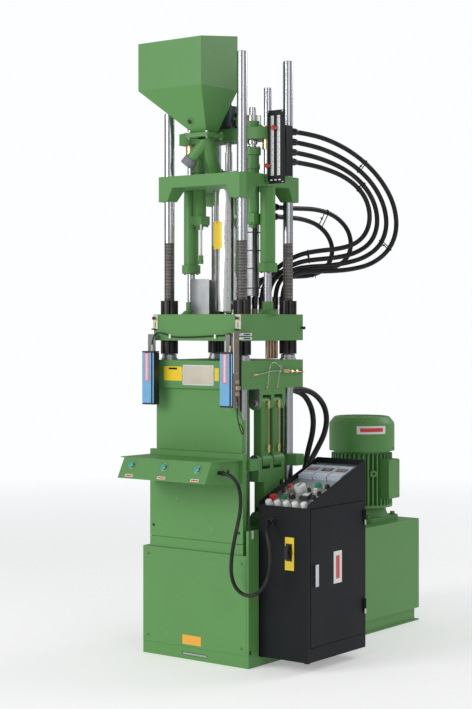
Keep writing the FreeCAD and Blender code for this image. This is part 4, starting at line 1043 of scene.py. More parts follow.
# ---------------------------------------------------------------- fixed machine frame
@dataclass
class BaseStand:
    """The base, its front cover and the clamp cylinder inside."""

    cad: CadParts
    front: float = -0.226
    side: float = 0.2725
    base_top: float = 0.5
    screw_radius: float = 0.006
    screws: tuple[Point, ...] = (
        (-0.244, -0.226, 0.076), (0.238, -0.226, 0.076), (-0.244, -0.226, 0.41), (0.238, -0.226, 0.41),
        (-0.22, -0.22, 0.529), (0.22, -0.22, 0.529),
    )

    def build(self) -> None:
        """Build every piece of the base."""
        self.cad.soft_copy("base_frame", GREEN, 0.0016)
        self.cad.soft_copy("base_front_cover", GREEN, 0.0008)
        self.cad.soft_copy("clamp_cylinder", CAST_GREEN, 0.0016)
        self.cad.soft_copy("frame_uprights", GREEN, 0.0014)
        screws = Form()
        for spot in self.screws:
            screws.screw(spot, AHEAD, self.screw_radius, OXIDE if spot[2] > self.base_top else CAST_GREEN)
        screws.place("cover_screw_heads", Body.FRAME, "cover_screws")
        trim = Form()
        trim.box((-0.06, self.front + 0.0005, 0.0175), (0.06, self.front + 0.0045, 0.0262), GALVANISED)
        trim.tile((-0.015, self.front, 0.079), AHEAD, (0.096, 0.038, 0.0006), ORANGE_FIELD)
        trim.tile((self.side, -0.2, 0.525), RIGHT, (0.014, 0.032, 0.0006), WHITE_FIELD)
        trim.tile((self.side, -0.215, 0.062), RIGHT, (0.01, 0.016, 0.0006), BLACK)
        for z in (0.12, 0.36, self.base_top):
            for y in (-0.11, 0.11):
                trim.screw((self.side, y, z), RIGHT, 0.005)
        trim.place("base_trim", Body.FRAME)


@dataclass
class FrontPanels:
    """The sheet-metal covers and the operator's shelf."""

    cad: CadParts
    nose: Point = (0.0, -0.8874, 0.46099)
    button_y: float = -0.41377
    button_z: float = 0.7905
    field_y: float = -0.43437
    field_z: float = 0.7508
    button_x: tuple[float, ...] = (-0.168, 0.0, 0.168)
    wing: float = 0.241

    def build(self) -> None:
        """Build every piece of the covers and the shelf."""
        for name in ("lower_front_cover", "upper_front_cover", "operator_shelf"):
            self.cad.soft_copy(name, GREEN, 0.0009)
        trim = Form()
        for body, x in zip((Body.SHELF_LEFT, Body.SHELF_MIDDLE, Body.SHELF_RIGHT), self.button_x):
            seat = (x, self.button_y, self.button_z)
            cap = Form()
            cap.button(seat, self.nose, 0.013, 0.008, TEAL)
            cap.place(body.value + "_cap", body, body.value)
            trim.ring(seat, self.nose, 0.0134, 0.0166, 0.003, ZINC)
            below = (x, self.field_y, self.field_z)
            trim.tile(below, self.nose, (0.04, 0.011, 0.0005), WHITE_FIELD)
            trim.tile(below, self.nose, (0.034, 0.006, 0.0008), RED_FIELD)
        trim.ring((self.wing, -0.353, 0.777), RIGHT, 0.0078, 0.0112, 0.003, BLACK_PLASTIC)
        trim.rod((self.wing, -0.317, 0.78), RIGHT, 0.0008, 0.009, BLACK_PLASTIC)
        trim.place("shelf_trim", Body.FRAME)


@dataclass
class FixedTable:
    """The fixed platen with its plates, wipers and grease lines."""

    cad: CadParts
    front: float = -0.213
    side: float = 0.227
    top: float = 1.207
    wiper_bore: float = 0.0214
    wiper_height: float = 0.0225
    bars: tuple[Flat, ...] = ((-0.1885, -0.1573), (0.1885, -0.1573), (-0.1885, 0.1573), (0.1885, 0.1573))

    def build(self) -> None:
        """Build every piece of the fixed platen."""
        self.cad.soft_copy("fixed_platen", CAST_GREEN, 0.0022, (STEEL, pin_ends(PIVOT_X, 0.096, 1.035)))
        trim = Form()
        bore, high = self.wiper_bore, self.wiper_height
        wiper = [(bore, 0), (0.034, 0), (0.034, 0.007), (0.03, 0.008), (0.03, 0.02), (0.0275, high),
                 (bore, high), (bore, 0)]
        for x, y in self.bars:
            trim.turn(wiper, (x, y, self.top), UP, STEEL, 36)
        self._plates(trim)
        self._grease_block(trim)
        trim.place("table_trim", Body.FRAME)

    def _plates(self, trim: Form) -> None:
        """Add the plain yellow fields and the blank metal plate."""
        for x, z, size, finish in (
            (-0.123, 1.1525, (0.096, 0.058, 0.0006), YELLOW_FIELD),
            (-0.123, 1.173, (0.044, 0.008, 0.0009), BLACK),
            (0.008, 1.148, (0.16, 0.082, 0.001), ALLOY),
            (0.008, 1.148, (0.15, 0.072, 0.0013), PLATE),
            (0.1035, 1.1525, (0.022, 0.052, 0.0006), YELLOW_FIELD),
        ):
            trim.tile((x, self.front, z), AHEAD, size, finish)
        for x in (-0.066, 0.082):
            for z in (1.113, 1.183):
                trim.ball((x, self.front - 0.0012, z), 0.0022, ZINC, 12)

    def _grease_block(self, trim: Form) -> None:
        """Add the grease nipples, the clear tubes and the brass line.

        Args:
            trim: the piece that they belong to.
        """
        x = self.side
        trim.bolt((x, -0.136, 1.152), RIGHT, 0.013, 0.008, BRASS)
        trim.rod((x + 0.004, -0.136, 1.152), BEHIND, 0.02, 0.0038, BRASS, 12)
        trim.box((x, 0.06, 1.155), (x + 0.012, 0.1, 1.169), BRASS)
        trim.rod((x + 0.006, 0.1, 1.161), (0, 1, -0.05), 0.105, 0.0032, COPPER, 14)
        for y in (0.116, 0.15, 0.196):
            trim.rod((x + 0.006, y, 1.16), (0, 1, -0.05), 0.011, 0.006, BRASS, 6)
        trim.pipe(
            [(x + 0.004, -0.116, 1.152), (x + 0.005, -0.07, 1.156), (x + 0.006, 0.0, 1.166),
             (x + 0.006, 0.06, 1.162)], 0.0016, TUBE,
        )
        for y, rise in ((-0.042, 1.205), (0.027, 1.186)):
            trim.pipe(
                [(x + 0.006, 0.062, 1.164), (x + 0.009, 0.03, 1.188), (x + 0.012, y + 0.018, rise),
                 (x + 0.012, y - 0.004, rise - 0.04), (x + 0.008, y - 0.002, 1.11),
                 (x + 0.001, y, 1.099)], 0.0016, TUBE,
            )
            trim.rod((x, y, 1.099), RIGHT, 0.0025, 0.0052, BRASS, 16)


@dataclass
class ToggleLinks:
    """The folding links with their copper grease lines."""

    cad: CadParts
    face: float = 0.225
    top: float = 1.03
    foot: float = 0.852

    def build(self) -> None:
        """Build the four pairs of links."""
        for side in ("left", "right"):
            self.cad.soft_copy("upper_link_" + side, CAST_GREEN, 0.0014)
            ends = pin_ends(PIVOT_X, 0.095, 0.803)
            self.cad.soft_copy("lower_link_" + side, CAST_GREEN, 0.0014, (STEEL, ends))
        lines = Form()
        line = self.face + 0.0045
        for y in (-0.034, 0.036):
            for z in (self.top, self.foot):
                lines.rod((self.face, y, z), RIGHT, 0.006, 0.0095, BRASS, 6)
                lines.rod((line, y, z - 0.016), UP, 0.032, 0.0062, BRASS, 14)
            lines.rod((line, y, self.foot), UP, self.top - self.foot, 0.0032, COPPER, 14)
            lines.bolt((self.face + 0.006, y, self.foot + 0.004), RIGHT, 0.01, 0.005, BRASS)
        lines.place("grease_lines", Body.UPPER_LINK_RIGHT)


# ---------------------------------------------------------------- clamp
@dataclass
class ClampPlaten:
    """The moving platen, the tie bars and what is bolted to them."""

    cad: CadParts
    front: float = -0.213
    bar_radius: float = 0.021
    bar_foot: float = 0.45
    thread: tuple[float, float] = (1.45, 1.688)
    thread_depth: float = 0.0008
    pitch: float = 0.006
    bars: tuple[Point, ...] = (
        (-0.1885, -0.1573, 2.222), (0.1885, -0.1573, 2.443), (-0.1885, 0.1573, 2.443),
        (0.1885, 0.1573, 2.443),
    )
    guard: Region = ((-0.15, -0.064, 1.3942), (-0.054, 0.064, 1.541))
    guard_sheet: float = 0.002
    housings: Flat = (-0.236, 0.167)
    housing_w: float = 0.062
    housing_y: Flat = (-0.275, -0.239)
    housing_z: Flat = (1.026, 1.244)
    end_cap: float = 0.006
    gland_y: float = -0.257
    fitting_foot: float = 1.394

    def build(self) -> None:
        """Build every piece of the clamp."""
        self.cad.soft_copy("moving_platen", CAST_GREEN, 0.0022)
        self.cad.soft_copy("tie_bar_nuts", OXIDE, 0.001)
        self.cad.soft_copy("toggle_crosshead", CAST_GREEN, 0.0016)
        self._guard()
        self.cad.finish_plain(CHROME, "guide_rods", "clamp_piston_rod")
        self._tie_bars()
        self._sensors()
        self._fittings()
        self._adapters()

    def _guard(self) -> None:
        """Fold the purge guard from sheet."""
        guard = Form()
        (x0, y0, z0), (x1, y1, z1) = self.guard
        sheet = self.guard_sheet
        for low, high in (
            ((x0, y0, z0), (x1, y0 + sheet, z1)), ((x0, y0, z0), (x0 + sheet, y1, z1)),
            ((x0, y1 - sheet, z0), (-0.1, y1, z1)),
        ):
            guard.box(low, high, GALVANISED, 0.0005)
        for z in (1.412, 1.505):
            guard.screw((-0.136, y0, z), AHEAD, 0.0035)
        guard.place("purge_guard", Body.CLAMP, "purge_shield")

    def _tie_bars(self) -> None:
        """Turn the four tie bars with their threads."""
        bars = Form()
        start, end = (z - self.bar_foot for z in self.thread)
        radius, root = self.bar_radius, self.bar_radius - self.thread_depth
        ridges: list[Flat] = [(0, start)]
        for k in range(round((end - start) / self.pitch)):
            at = start + k * self.pitch
            ridges += [(root, at), (radius, at + self.pitch * 0.35), (radius, at + self.pitch * 0.65)]
        ridges += [(root, end), (0, end)]
        for x, y, top in self.bars:
            foot, tall = (x, y, self.bar_foot), top - self.bar_foot
            plain = [(0, 0), (radius - 0.002, 0), (radius, 0.002), (radius, start), (0, start)]
            bars.turn(plain, foot, UP, CHROME, 40)
            bars.turn(ridges, foot, UP, THREAD, 32)
            plain = [(0, end), (radius, end), (radius, tall - 0.003), (radius - 0.003, tall), (0.004, tall),
                     (0.004, tall - 0.006), (0, tall - 0.006)]
            bars.turn(plain, foot, UP, CHROME, 40)
        bars.place("turned_tie_bars", Body.CLAMP, "tie_bars", weighted=False)

    def _sensors(self) -> None:
        """Build the two light barrier housings with their brackets and cables."""
        box = Form()
        (front, rear), (low, high), cap = self.housing_y, self.housing_z, self.end_cap
        foot, head = low + cap + 0.0005, high - cap - 0.0005
        for x in self.housings:
            side = x + self.housing_w
            box.box((x, front, foot), (x + 0.0475, rear, head), BLUE, 0.0012)
            box.box((x + 0.048, front + 0.0012, foot), (side, rear, head), BLACK_PLASTIC, 0.0012)
            box.box((x + 0.056, front, foot), (side, front + 0.0008, head), BLUE, 0.0003)
            for end in (low, high - cap):
                box.box((x, front, end), (side, rear, end + cap), BLACK_PLASTIC, 0.0012)
            self._window(box, x + 0.0255, (low + high) / 2)
            box.box((x, -0.2388, 1.184), (x + 0.038, -0.2335, 1.313), GREY)
            box.box((x, -0.233, 1.2955), (x + 0.038, -0.2132, 1.3125), GREY)
            for z in (1.2, 1.222):
                box.bolt((x + 0.019, -0.233, z), BEHIND, 0.009, 0.004)
            for lift, tall, radius, finish, sides in (
                (0.0, 0.008, 0.0075, ZINC, 6), (0.008, 0.018, 0.0052, ZINC, 20),
                (0.026, 0.008, 0.0038, BLACK_PLASTIC, 16),
            ):
                box.rod((x + 0.04, self.gland_y, high + lift), UP, tall, radius, finish, sides)
        lead = self.front - 0.0045
        box.pipe(
            [(-0.196, -0.257, 1.274), (-0.195, -0.255, 1.3), (-0.186, -0.24, 1.32), (-0.164, lead, 1.316),
             (-0.134, lead, 1.303), (-0.08, lead, 1.3), (0.0, lead, 1.302), (0.08, lead, 1.306),
             (0.15, lead, 1.309), (0.186, -0.232, 1.318), (0.204, -0.25, 1.31), (0.207, -0.257, 1.274)],
            0.0028, RUBBER,
        )
        for x in (-0.134, 0.1):
            clip = (x + 0.005, self.front - 0.0002, 1.3125)
            box.box((x - 0.005, self.front - 0.0085, 1.296), clip, WHITE_PLASTIC)
        box.place("light_barriers", Body.CLAMP, "light_sensors")

    def _window(self, box: Form, x: float, middle: float) -> None:
        """Add a housing's red window with its row of lenses.

        Args:
            box: the housing's piece.
            x: its middle across.
            middle: the height of the housing's middle.
        """
        front = self.housing_y[0]
        box.tile((x, front, middle + 0.044), AHEAD, (0.023, 0.116, 0.0006), RED_FIELD)
        box.tile((x, front, middle + 0.044), AHEAD, (0.019, 0.112, 0.0009), PINK_FIELD)
        for k in range(13):
            lens = (x, front - 0.0009, middle - 0.0052 + 0.0082 * k)
            box.rod(lens, AHEAD, 0.0005, 0.003, WHITE_FIELD, 14, 0.0001)

    def _fittings(self) -> None:
        """Build the small plates, the terminal bar and the side bracket."""
        trim = Form()
        plate = self.front - 0.0045
        knob = [(0, 0), (0.0042, 0), (0.0042, 0.004), (0.0066, 0.006), (0.0066, 0.013), (0, 0.0142)]
        for x in (-0.2275, 0.2005):
            trim.box((x, plate, 1.334), (x + 0.026, self.front - 0.0002, 1.393), BEIGE)
            trim.turn(knob, (x + 0.013, plate, 1.378), AHEAD, BLACK_PLASTIC, 20)
            trim.tile((x + 0.013, plate, 1.351), AHEAD, (0.004, 0.022, 0.0006), BLACK_PLASTIC)
            trim.rod((x - 0.004, self.front - 0.006, 1.333), RIGHT, 0.02, 0.0032, OXIDE, 14)
        self._terminals(trim)
        for z in (1.2915, 1.308):
            trim.box((0.2275, -0.228, z), (0.24, -0.16, z + 0.011), WHITE_PLASTIC)
            trim.box((0.24, -0.216, z + 0.003), (0.2412, -0.172, z + 0.008), BLACK_PLASTIC, 0.0003)
        trim.rod((0.2272, 0.2, 1.338), RIGHT, 0.007, 0.0045, OXIDE, 16)
        trim.ball((0.24, 0.2, 1.338), 0.007, BLACK_PLASTIC, 18)
        for y in (0.054, 0.075, 0.096, 0.117):
            trim.rod((0.157, y, 1.2868), DOWN, 0.075, 0.0072, BRONZE, 20)
        trim.place("platen_fittings", Body.CLAMP)

    @staticmethod
    def _terminals(trim: Form) -> None:
        """Add the terminal bar with its lead and the loose lead below it.

        Args:
            trim: the piece that they belong to.
        """
        trim.box((0.2335, -0.274, 1.024), (0.2375, -0.24, 1.322), STRIP)
        trim.box((0.2336, -0.2752, 1.16), (0.2374, -0.2741, 1.32), BEIGE, 0.0003)
        trim.box((0.219, -0.274, 1.318), (0.2335, -0.213, 1.322), STRIP)
        trim.box((0.2292, -0.262, 1.15), (0.2335, -0.25, 1.17), ZINC)
        for z, deep in ((1.12, 0.005), (1.096, 0.011), (1.072, 0.006)):
            trim.box((0.2376, -0.268, z), (0.2376 + deep, -0.246, z + 0.014), BRONZE)
        for z in (1.045, 1.16, 1.23, 1.29):
            trim.screw((0.2375, -0.257, z), RIGHT, 0.0036)
        trim.pipe(
            [(0.236, -0.232, 1.29), (0.238, -0.232, 1.24), (0.236, -0.232, 1.14), (0.239, -0.232, 1.01)],
            0.0042, RUBBER,
        )
        trim.pipe(
            [(0.24, -0.257, 1.072), (0.242, -0.252, 1.04), (0.222, -0.236, 1.0), (0.229, -0.234, 0.965),
             (0.236, -0.23, 0.935), (0.242, -0.226, 0.918), (0.248, -0.226, 0.928), (0.244, -0.228, 0.95),
             (0.232, -0.232, 0.962)],
            0.0022, RUBBER,
        )

    def _adapters(self) -> None:
        """Build the hose adapters on the moving platen."""
        ports = Form()
        for x, y, end in (route[-1] for route in UPPER_ROUTES + LOWER_ROUTES):
            ports.rod((x, y, self.fitting_foot), UP, 0.024, 0.015, ZINC, 6, 0.001)
            ports.ring((x, y, self.fitting_foot + 0.024), UP, 0.004, 0.012, 0.0158, OXIDE)
            ports.ring((x, y, end + 0.0002), UP, 0.0106, 0.0134, 0.034, OXIDE)
        ports.place("hose_adapters", Body.CLAMP, "hose_fittings")


# ---------------------------------------------------------------- injection unit
@dataclass
class Carriage:
    """The injection carriage with its cylinders and barrel."""

    cad: CadParts
    injection_foot: float = 1.768
    injection_head: float = 2.072
    seat_foot: float = 1.566
    band_low: tuple[float, ...] = (1.448, 1.5276, 1.6072, 1.6868, 1.7664)
    band_height: float = 0.058

    def build(self) -> None:
        """Build every piece of the carriage."""
        ports = (((0.199, 0.054, 1.9591), (0.253, 0.101, 2.166)),
                 ((0.127, 0.0595, 1.767), (0.165, 0.101, 1.9115)))
        self.cad.soft_copy("injection_carriage", CAST_GREEN, 0.002, (BLACK, ports))
        self.cad.soft_copy("seat_cylinders", GREEN, 0.0014)
        self.cad.soft_copy("injection_cylinders", GREEN, 0.0014)
        self.cad.soft_copy("barrel", STEEL, 0.001)
        self.cad.soft_copy("barrel_guard", SHEET_STEEL, 0.0004)
        self.cad.finish_plain(STEEL, "screw")
        self._cylinder_trim()
        self._heaters()
        self._hose_ends()

    def _cylinder_trim(self) -> None:
        """Add glands, bolts, tie rods and the small return rod."""
        trim = Form()
        for side in (-1, 1):
            x, y = side * INJECTION[0], INJECTION[1]
            for dx in (-0.022, 0.022):
                for dy in (-0.022, 0.022):
                    trim.bolt((x + dx, y + dy, self.injection_foot), DOWN, 0.0115, 0.009, GREEN)
            trim.ring((x, y, 1.985), UP, 0.0272, 0.0305, 0.02, GREEN)
            trim.ring((x, y, self.injection_head + 0.0002), UP, 0.0143, 0.02, 0.005, BRASS)
            for spot in around((x, y, self.injection_head), 0.0265, 6, 30):
                trim.ring(spot, UP, 0.0018, 0.0042, 0.006, OXIDE, 16)
            guide = (side * GUIDE_X, 0, self.seat_foot)
            trim.ring((guide[0], 0, self.seat_foot - 0.002), UP, 0.0164, 0.022, 0.0018, BRASS)
            for spot in around(guide, 0.0262, 4, 45):
                trim.rod(spot, DOWN, 0.005, 0.0042, OXIDE, 6)
        trim.rod((-0.112, -0.044, self.injection_foot), DOWN, 0.15, 0.0052, STEEL, 20)
        trim.rod((-0.112, -0.044, 1.64), DOWN, 0.026, 0.0095, GREEN, 6)
        trim.box((-0.119, -0.053, 1.604), (-0.105, -0.035, 1.622), GREEN, 0.002)
        for spot in around((0, 0, 1.983), 0.0492, 4):
            trim.rod(spot, UP, 0.008, 0.0065, OXIDE, 6)
        for z in (1.93, 1.944):
            trim.ring((0.2265, -0.054, z), AHEAD, 0.0018, 0.0042, 0.005, OXIDE, 16)
        trim.place("cylinder_trim", Body.CARRIAGE)

    def _heaters(self) -> None:
        """Build the heater bands with their clamps and wires, and the guard's label."""
        bands = Form()
        bore, rim, waist, high = 0.0371, 0.047, 0.0455, self.band_height
        band: list[Flat] = [(bore, 0), (rim, 0), (rim, 0.004), (waist, 0.005)]
        for at in (0.007 + k * 0.0078 for k in range(6)):
            band += [(waist, at), (0.0468, at + 0.0018), (waist, at + 0.0036)]
        band += [(waist, 0.053), (rim, 0.054), (rim, high), (bore, high), (bore, 0)]
        for low in self.band_low:
            high = low + self.band_height
            bands.turn(band, (0, 0, low), UP, GALVANISED, 48)
            for z in (low + 0.012, high - 0.012):
                bands.rod((0.0375, -0.056, z), (-0.6, 0.8, 0), 0.022, 0.003, ZINC, 12)
            bands.box((0.044, -0.03, low + 0.02), (0.057, -0.014, high - 0.02), GALVANISED, 0.002)
        bands.place("heater_band_set", Body.CARRIAGE, "heater_bands")
        trim = Form()
        trim.bent_sheet((0, 0), (0.0624, 0.0630864), (222, 282), (1.662, 1.777), YELLOW_FIELD)
        trim.bent_sheet((0, 0), (0.0612, 0.062), (-34, 32), (1.45, 1.905), SHEET_STEEL)
        trim.tile((-0.014, -0.0628, 1.771), (-0.22, -0.975, 0), (0.006, 0.006, 0.0008), RED_FIELD)
        trim.pipe(
            [(0.113, 0.036, 1.9115), (0.113, 0.036, 1.86), (0.114, 0.034, 1.78), (0.112, 0.034, 1.7),
             (0.117, 0.03, 1.62), (0.12, 0.028, 1.54), (0.124, 0.028, 1.47), (0.118, 0.03, 1.43)],
            0.0068, RUBBER,
        )
        trim.box((0.064, 0.024, 1.47), (0.104, 0.072, 1.9115), GALVANISED, 0.002)
        for k in range(36):
            z = 1.478 + 0.012 * k
            trim.box((0.1041, 0.026, z), (0.1052, 0.07, z + 0.006), GALVANISED, 0.0004)
            trim.box((0.066, 0.0226, z), (0.102, 0.0239, z + 0.006), GALVANISED, 0.0004)
        for z in (1.5, 1.58, 1.655, 1.73):
            trim.box((0.0632, 0.0215, z), (0.12, 0.0728, z + 0.0045), BLACK_PLASTIC, 0.001)
        trim.place("heater_wiring", Body.CARRIAGE)

    @staticmethod
    def _hose_ends() -> None:
        """Build the crimped ends of the hoses at the port blocks."""
        ends = Form()
        crimp = [(0.0117, 0), (0.0165, 0), (0.0165, 0.01), (0.014, 0.012), (0.0148, 0.02), (0.014, 0.024),
                 (0.0148, 0.03), (0.014, 0.036), (0.0117, 0.042), (0.0117, 0)]
        for route in UPPER_ROUTES + LOWER_ROUTES:
            way = tuple(Vector(route[1]) - Vector(route[0]))
            ends.turn(crimp, route[0], way, OXIDE, 20)
        ends.place("hose_end_crimps", Body.CARRIAGE)


@dataclass
class Ram:
    """The ram crosshead, its rods and the screw's motor."""

    cad: CadParts
    top: float = 2.153
    motor_top: float = 2.252

    def build(self) -> None:
        """Build every piece of the ram."""
        self.cad.soft_copy("ram_crosshead", CAST_GREEN, 0.0018)
        self.cad.soft_copy("ram_bushes", BRASS, 0.0008)
        self.cad.soft_copy("hydraulic_motor", MOTOR_CAST, 0.0025)
        x, y = INJECTION
        nuts = [((side * x - 0.024, y - 0.024, self.top - 0.0005), (side * x + 0.024, y + 0.024, 2.196))
                for side in (-1, 1)]
        self.cad.soft_copy("injection_rods", CHROME, 0.0012, (ZINC, nuts))
        trim = Form()
        for dx in (-0.03, 0.03):
            for dy in (-0.03, 0.03):
                trim.bolt((dx, dy, self.motor_top), UP, 0.013, 0.008, OXIDE)
        for at, tall in ((0.066, 0.07), (0.098, 0.052), (-0.08, 0.06)):
            for dy in (-0.029, 0.029):
                trim.rod((at, dy, self.top), UP, tall, 0.0055, STEEL, 16)
                trim.bolt((at, dy, self.top), UP, 0.019, 0.011, OXIDE)
                trim.bolt((at, dy, self.top + tall - 0.018), UP, 0.017, 0.01, OXIDE)
        for side in (-1, 1):
            trim.ring((side * x, y, self.top + 0.0002), UP, 0.0255, 0.033, 0.026, GREEN)
            for dx in (-0.038, 0.038):
                trim.rod((side * x + dx, y, self.top), UP, 0.05, 0.0042, ZINC, 14)
                trim.bolt((side * x + dx, y, self.top), UP, 0.015, 0.012, GREEN)
            trim.ring((side * GUIDE_X, 0, self.top + 0.0002), UP, 0.0162, 0.029, 0.005, BRASS)
            trim.rod((side * 0.041, 0, 2.215), (side, 0, 0), 0.014, 0.011, ZINC, 6)
        trim.box((0.056, -0.044, self.top + 0.036), (0.108, 0.044, self.top + 0.0455), GREEN, 0.0015)
        trim.place("ram_trim", Body.RAM)


@dataclass
class FeedHopper:
    """The material hopper with its chute."""

    cad: CadParts
    left: float = -0.25
    right: float = 0.08
    front: float = -0.283
    rear: float = -0.044
    top: float = 2.5
    rise: float = 0.03
    crease: float = 2.307
    outlet: Point = (0.0, -0.158, 2.126)
    outlet_half: float = 0.034
    flange: float = 0.022
    flange_height: float = 0.008
    sight_z: float = 2.1735
    wall: float = 0.0025

    def _rings(self, inset: float) -> list[list[Point]]:
        """Return the wall's corner rings from the rim down.

        Args:
            inset: how far they are moved inwards.

        Returns:
            The rings, each as its corners in order.
        """
        plan = (self.left + inset, self.right - inset, self.front + inset, self.rear - inset)
        rim = rectangle(*plan, self.top, self.top + self.rise)
        return [rim, rectangle(*plan, self.crease, self.crease), self._square(self.outlet_half - inset)]

    def _square(self, half: float, drop: float = 0.0) -> list[Point]:
        """Return a square ring round the outlet, a distance below it."""
        x, y, z = self.outlet
        return rectangle(x - half, x + half, y - half, y + half, z - drop, z - drop)

    def build(self) -> None:
        """Build the hopper, its sight hole (a dark disc in it is painted shade for the inside seen through
        the hole), its flange and the chute.
        """
        shell = Form()
        inner, outer = self._rings(self.wall), self._rings(0.0)
        lip = self.outlet_half + self.flange
        foot = [self._square(lip), self._square(lip, self.flange_height),
                self._square(self.outlet_half - self.wall, self.flange_height)]
        shell.skin(outer + foot + inner[::-1], GREEN, 0.0016)
        down = self.crease - self.outlet[2]
        across = (self.outlet[1] - self.outlet_half) - self.front
        way = (0.0, -down, -across)
        part = (self.crease - self.sight_z) / down
        seat = (-0.031, self.front + across * part, self.sight_z)
        shell.ring(seat, way, 0.0105, 0.0165, 0.003, GREEN)
        # painted shade: this dark disc stands for the shaded inside of the hopper seen through the sight hole
        shell.rod(seat, way, 0.0012, 0.0108, OXIDE, 24)
        x, y, z = self.outlet
        for dx in (-0.046, 0.046):
            for dy in (-0.046, 0.046):
                shell.bolt((x + dx, y + dy, z), UP, 0.012, 0.007)
                shell.bolt((x + dx, y + dy, z - self.flange_height - 0.0082), DOWN, 0.012, 0.007)
        shell.place("hopper_shell", Body.CARRIAGE, "hopper")
        self.cad.soft_copy("hopper_chute", GREEN, 0.0012)
        self.cad.soft_copy("drain_cap", CAP_GREY, 0.003)


@dataclass
class StrokeScale:
    """The stroke scale with its two pointers."""

    cad: CadParts
    face: float = -0.054
    low: float = 1.955
    step: float = 0.005
    marks: int = 47
    columns: tuple[Flat, ...] = ((0.255, 0.27), (0.286, 0.301))

    def build(self) -> None:
        """Build the scale and the pointers."""
        self.cad.soft_copy("stroke_scale", BLACK, 0.0008)
        trim = Form()
        for left, right in self.columns:
            height = self.step * (self.marks - 1)
            strip = ((left + right) / 2, self.face, self.low + height / 2)
            trim.tile(strip, AHEAD, (right - left, height + 0.01, 0.0008), WHITE_FIELD)
            for k in range(self.marks):
                wide = (right - left) * (0.86 if k % 5 == 0 else 0.52)
                at = (left + 0.0006 + wide / 2, self.face - 0.0008, self.low + k * self.step)
                trim.tile(at, AHEAD, (wide, 0.0014, 0.0002), BLACK, soft=0)
        for x in (0.2575, 0.278, 0.2985):
            trim.tile((x, self.face, 1.932), AHEAD, (0.011, 0.005, 0.0004), WHITE_FIELD)
        for x in (0.2425, 0.3135):
            for z in (1.9235, 2.2065):
                trim.screw((x, self.face, z), AHEAD, 0.003)
        trim.place("scale_marks", Body.CARRIAGE)
        for body, x, z in ((Body.UPPER_POINTER, 0.278, 2.14), (Body.LOWER_POINTER, 0.246, 1.99)):
            pointer = Form()
            pointer.rod((x, self.face - 0.008, z), AHEAD, 0.006, 0.0042, ZINC, 16)
            pointer.ring((x, self.face - 0.004, z), BEHIND, 0.0024, 0.007, 0.0037, ZINC)
            pointer.rod((x, self.face - 0.008, z), BEHIND, 0.026, 0.0025, ZINC, 16)
            pointer.rod((x, self.face + 0.0103, z), BEHIND, 0.005, 0.007, ZINC, 20)
            pointer.ball((x, self.face - 0.016, z), 0.0099, RED, 32)
            pointer.place(body.value + "_knob", body, body.value)


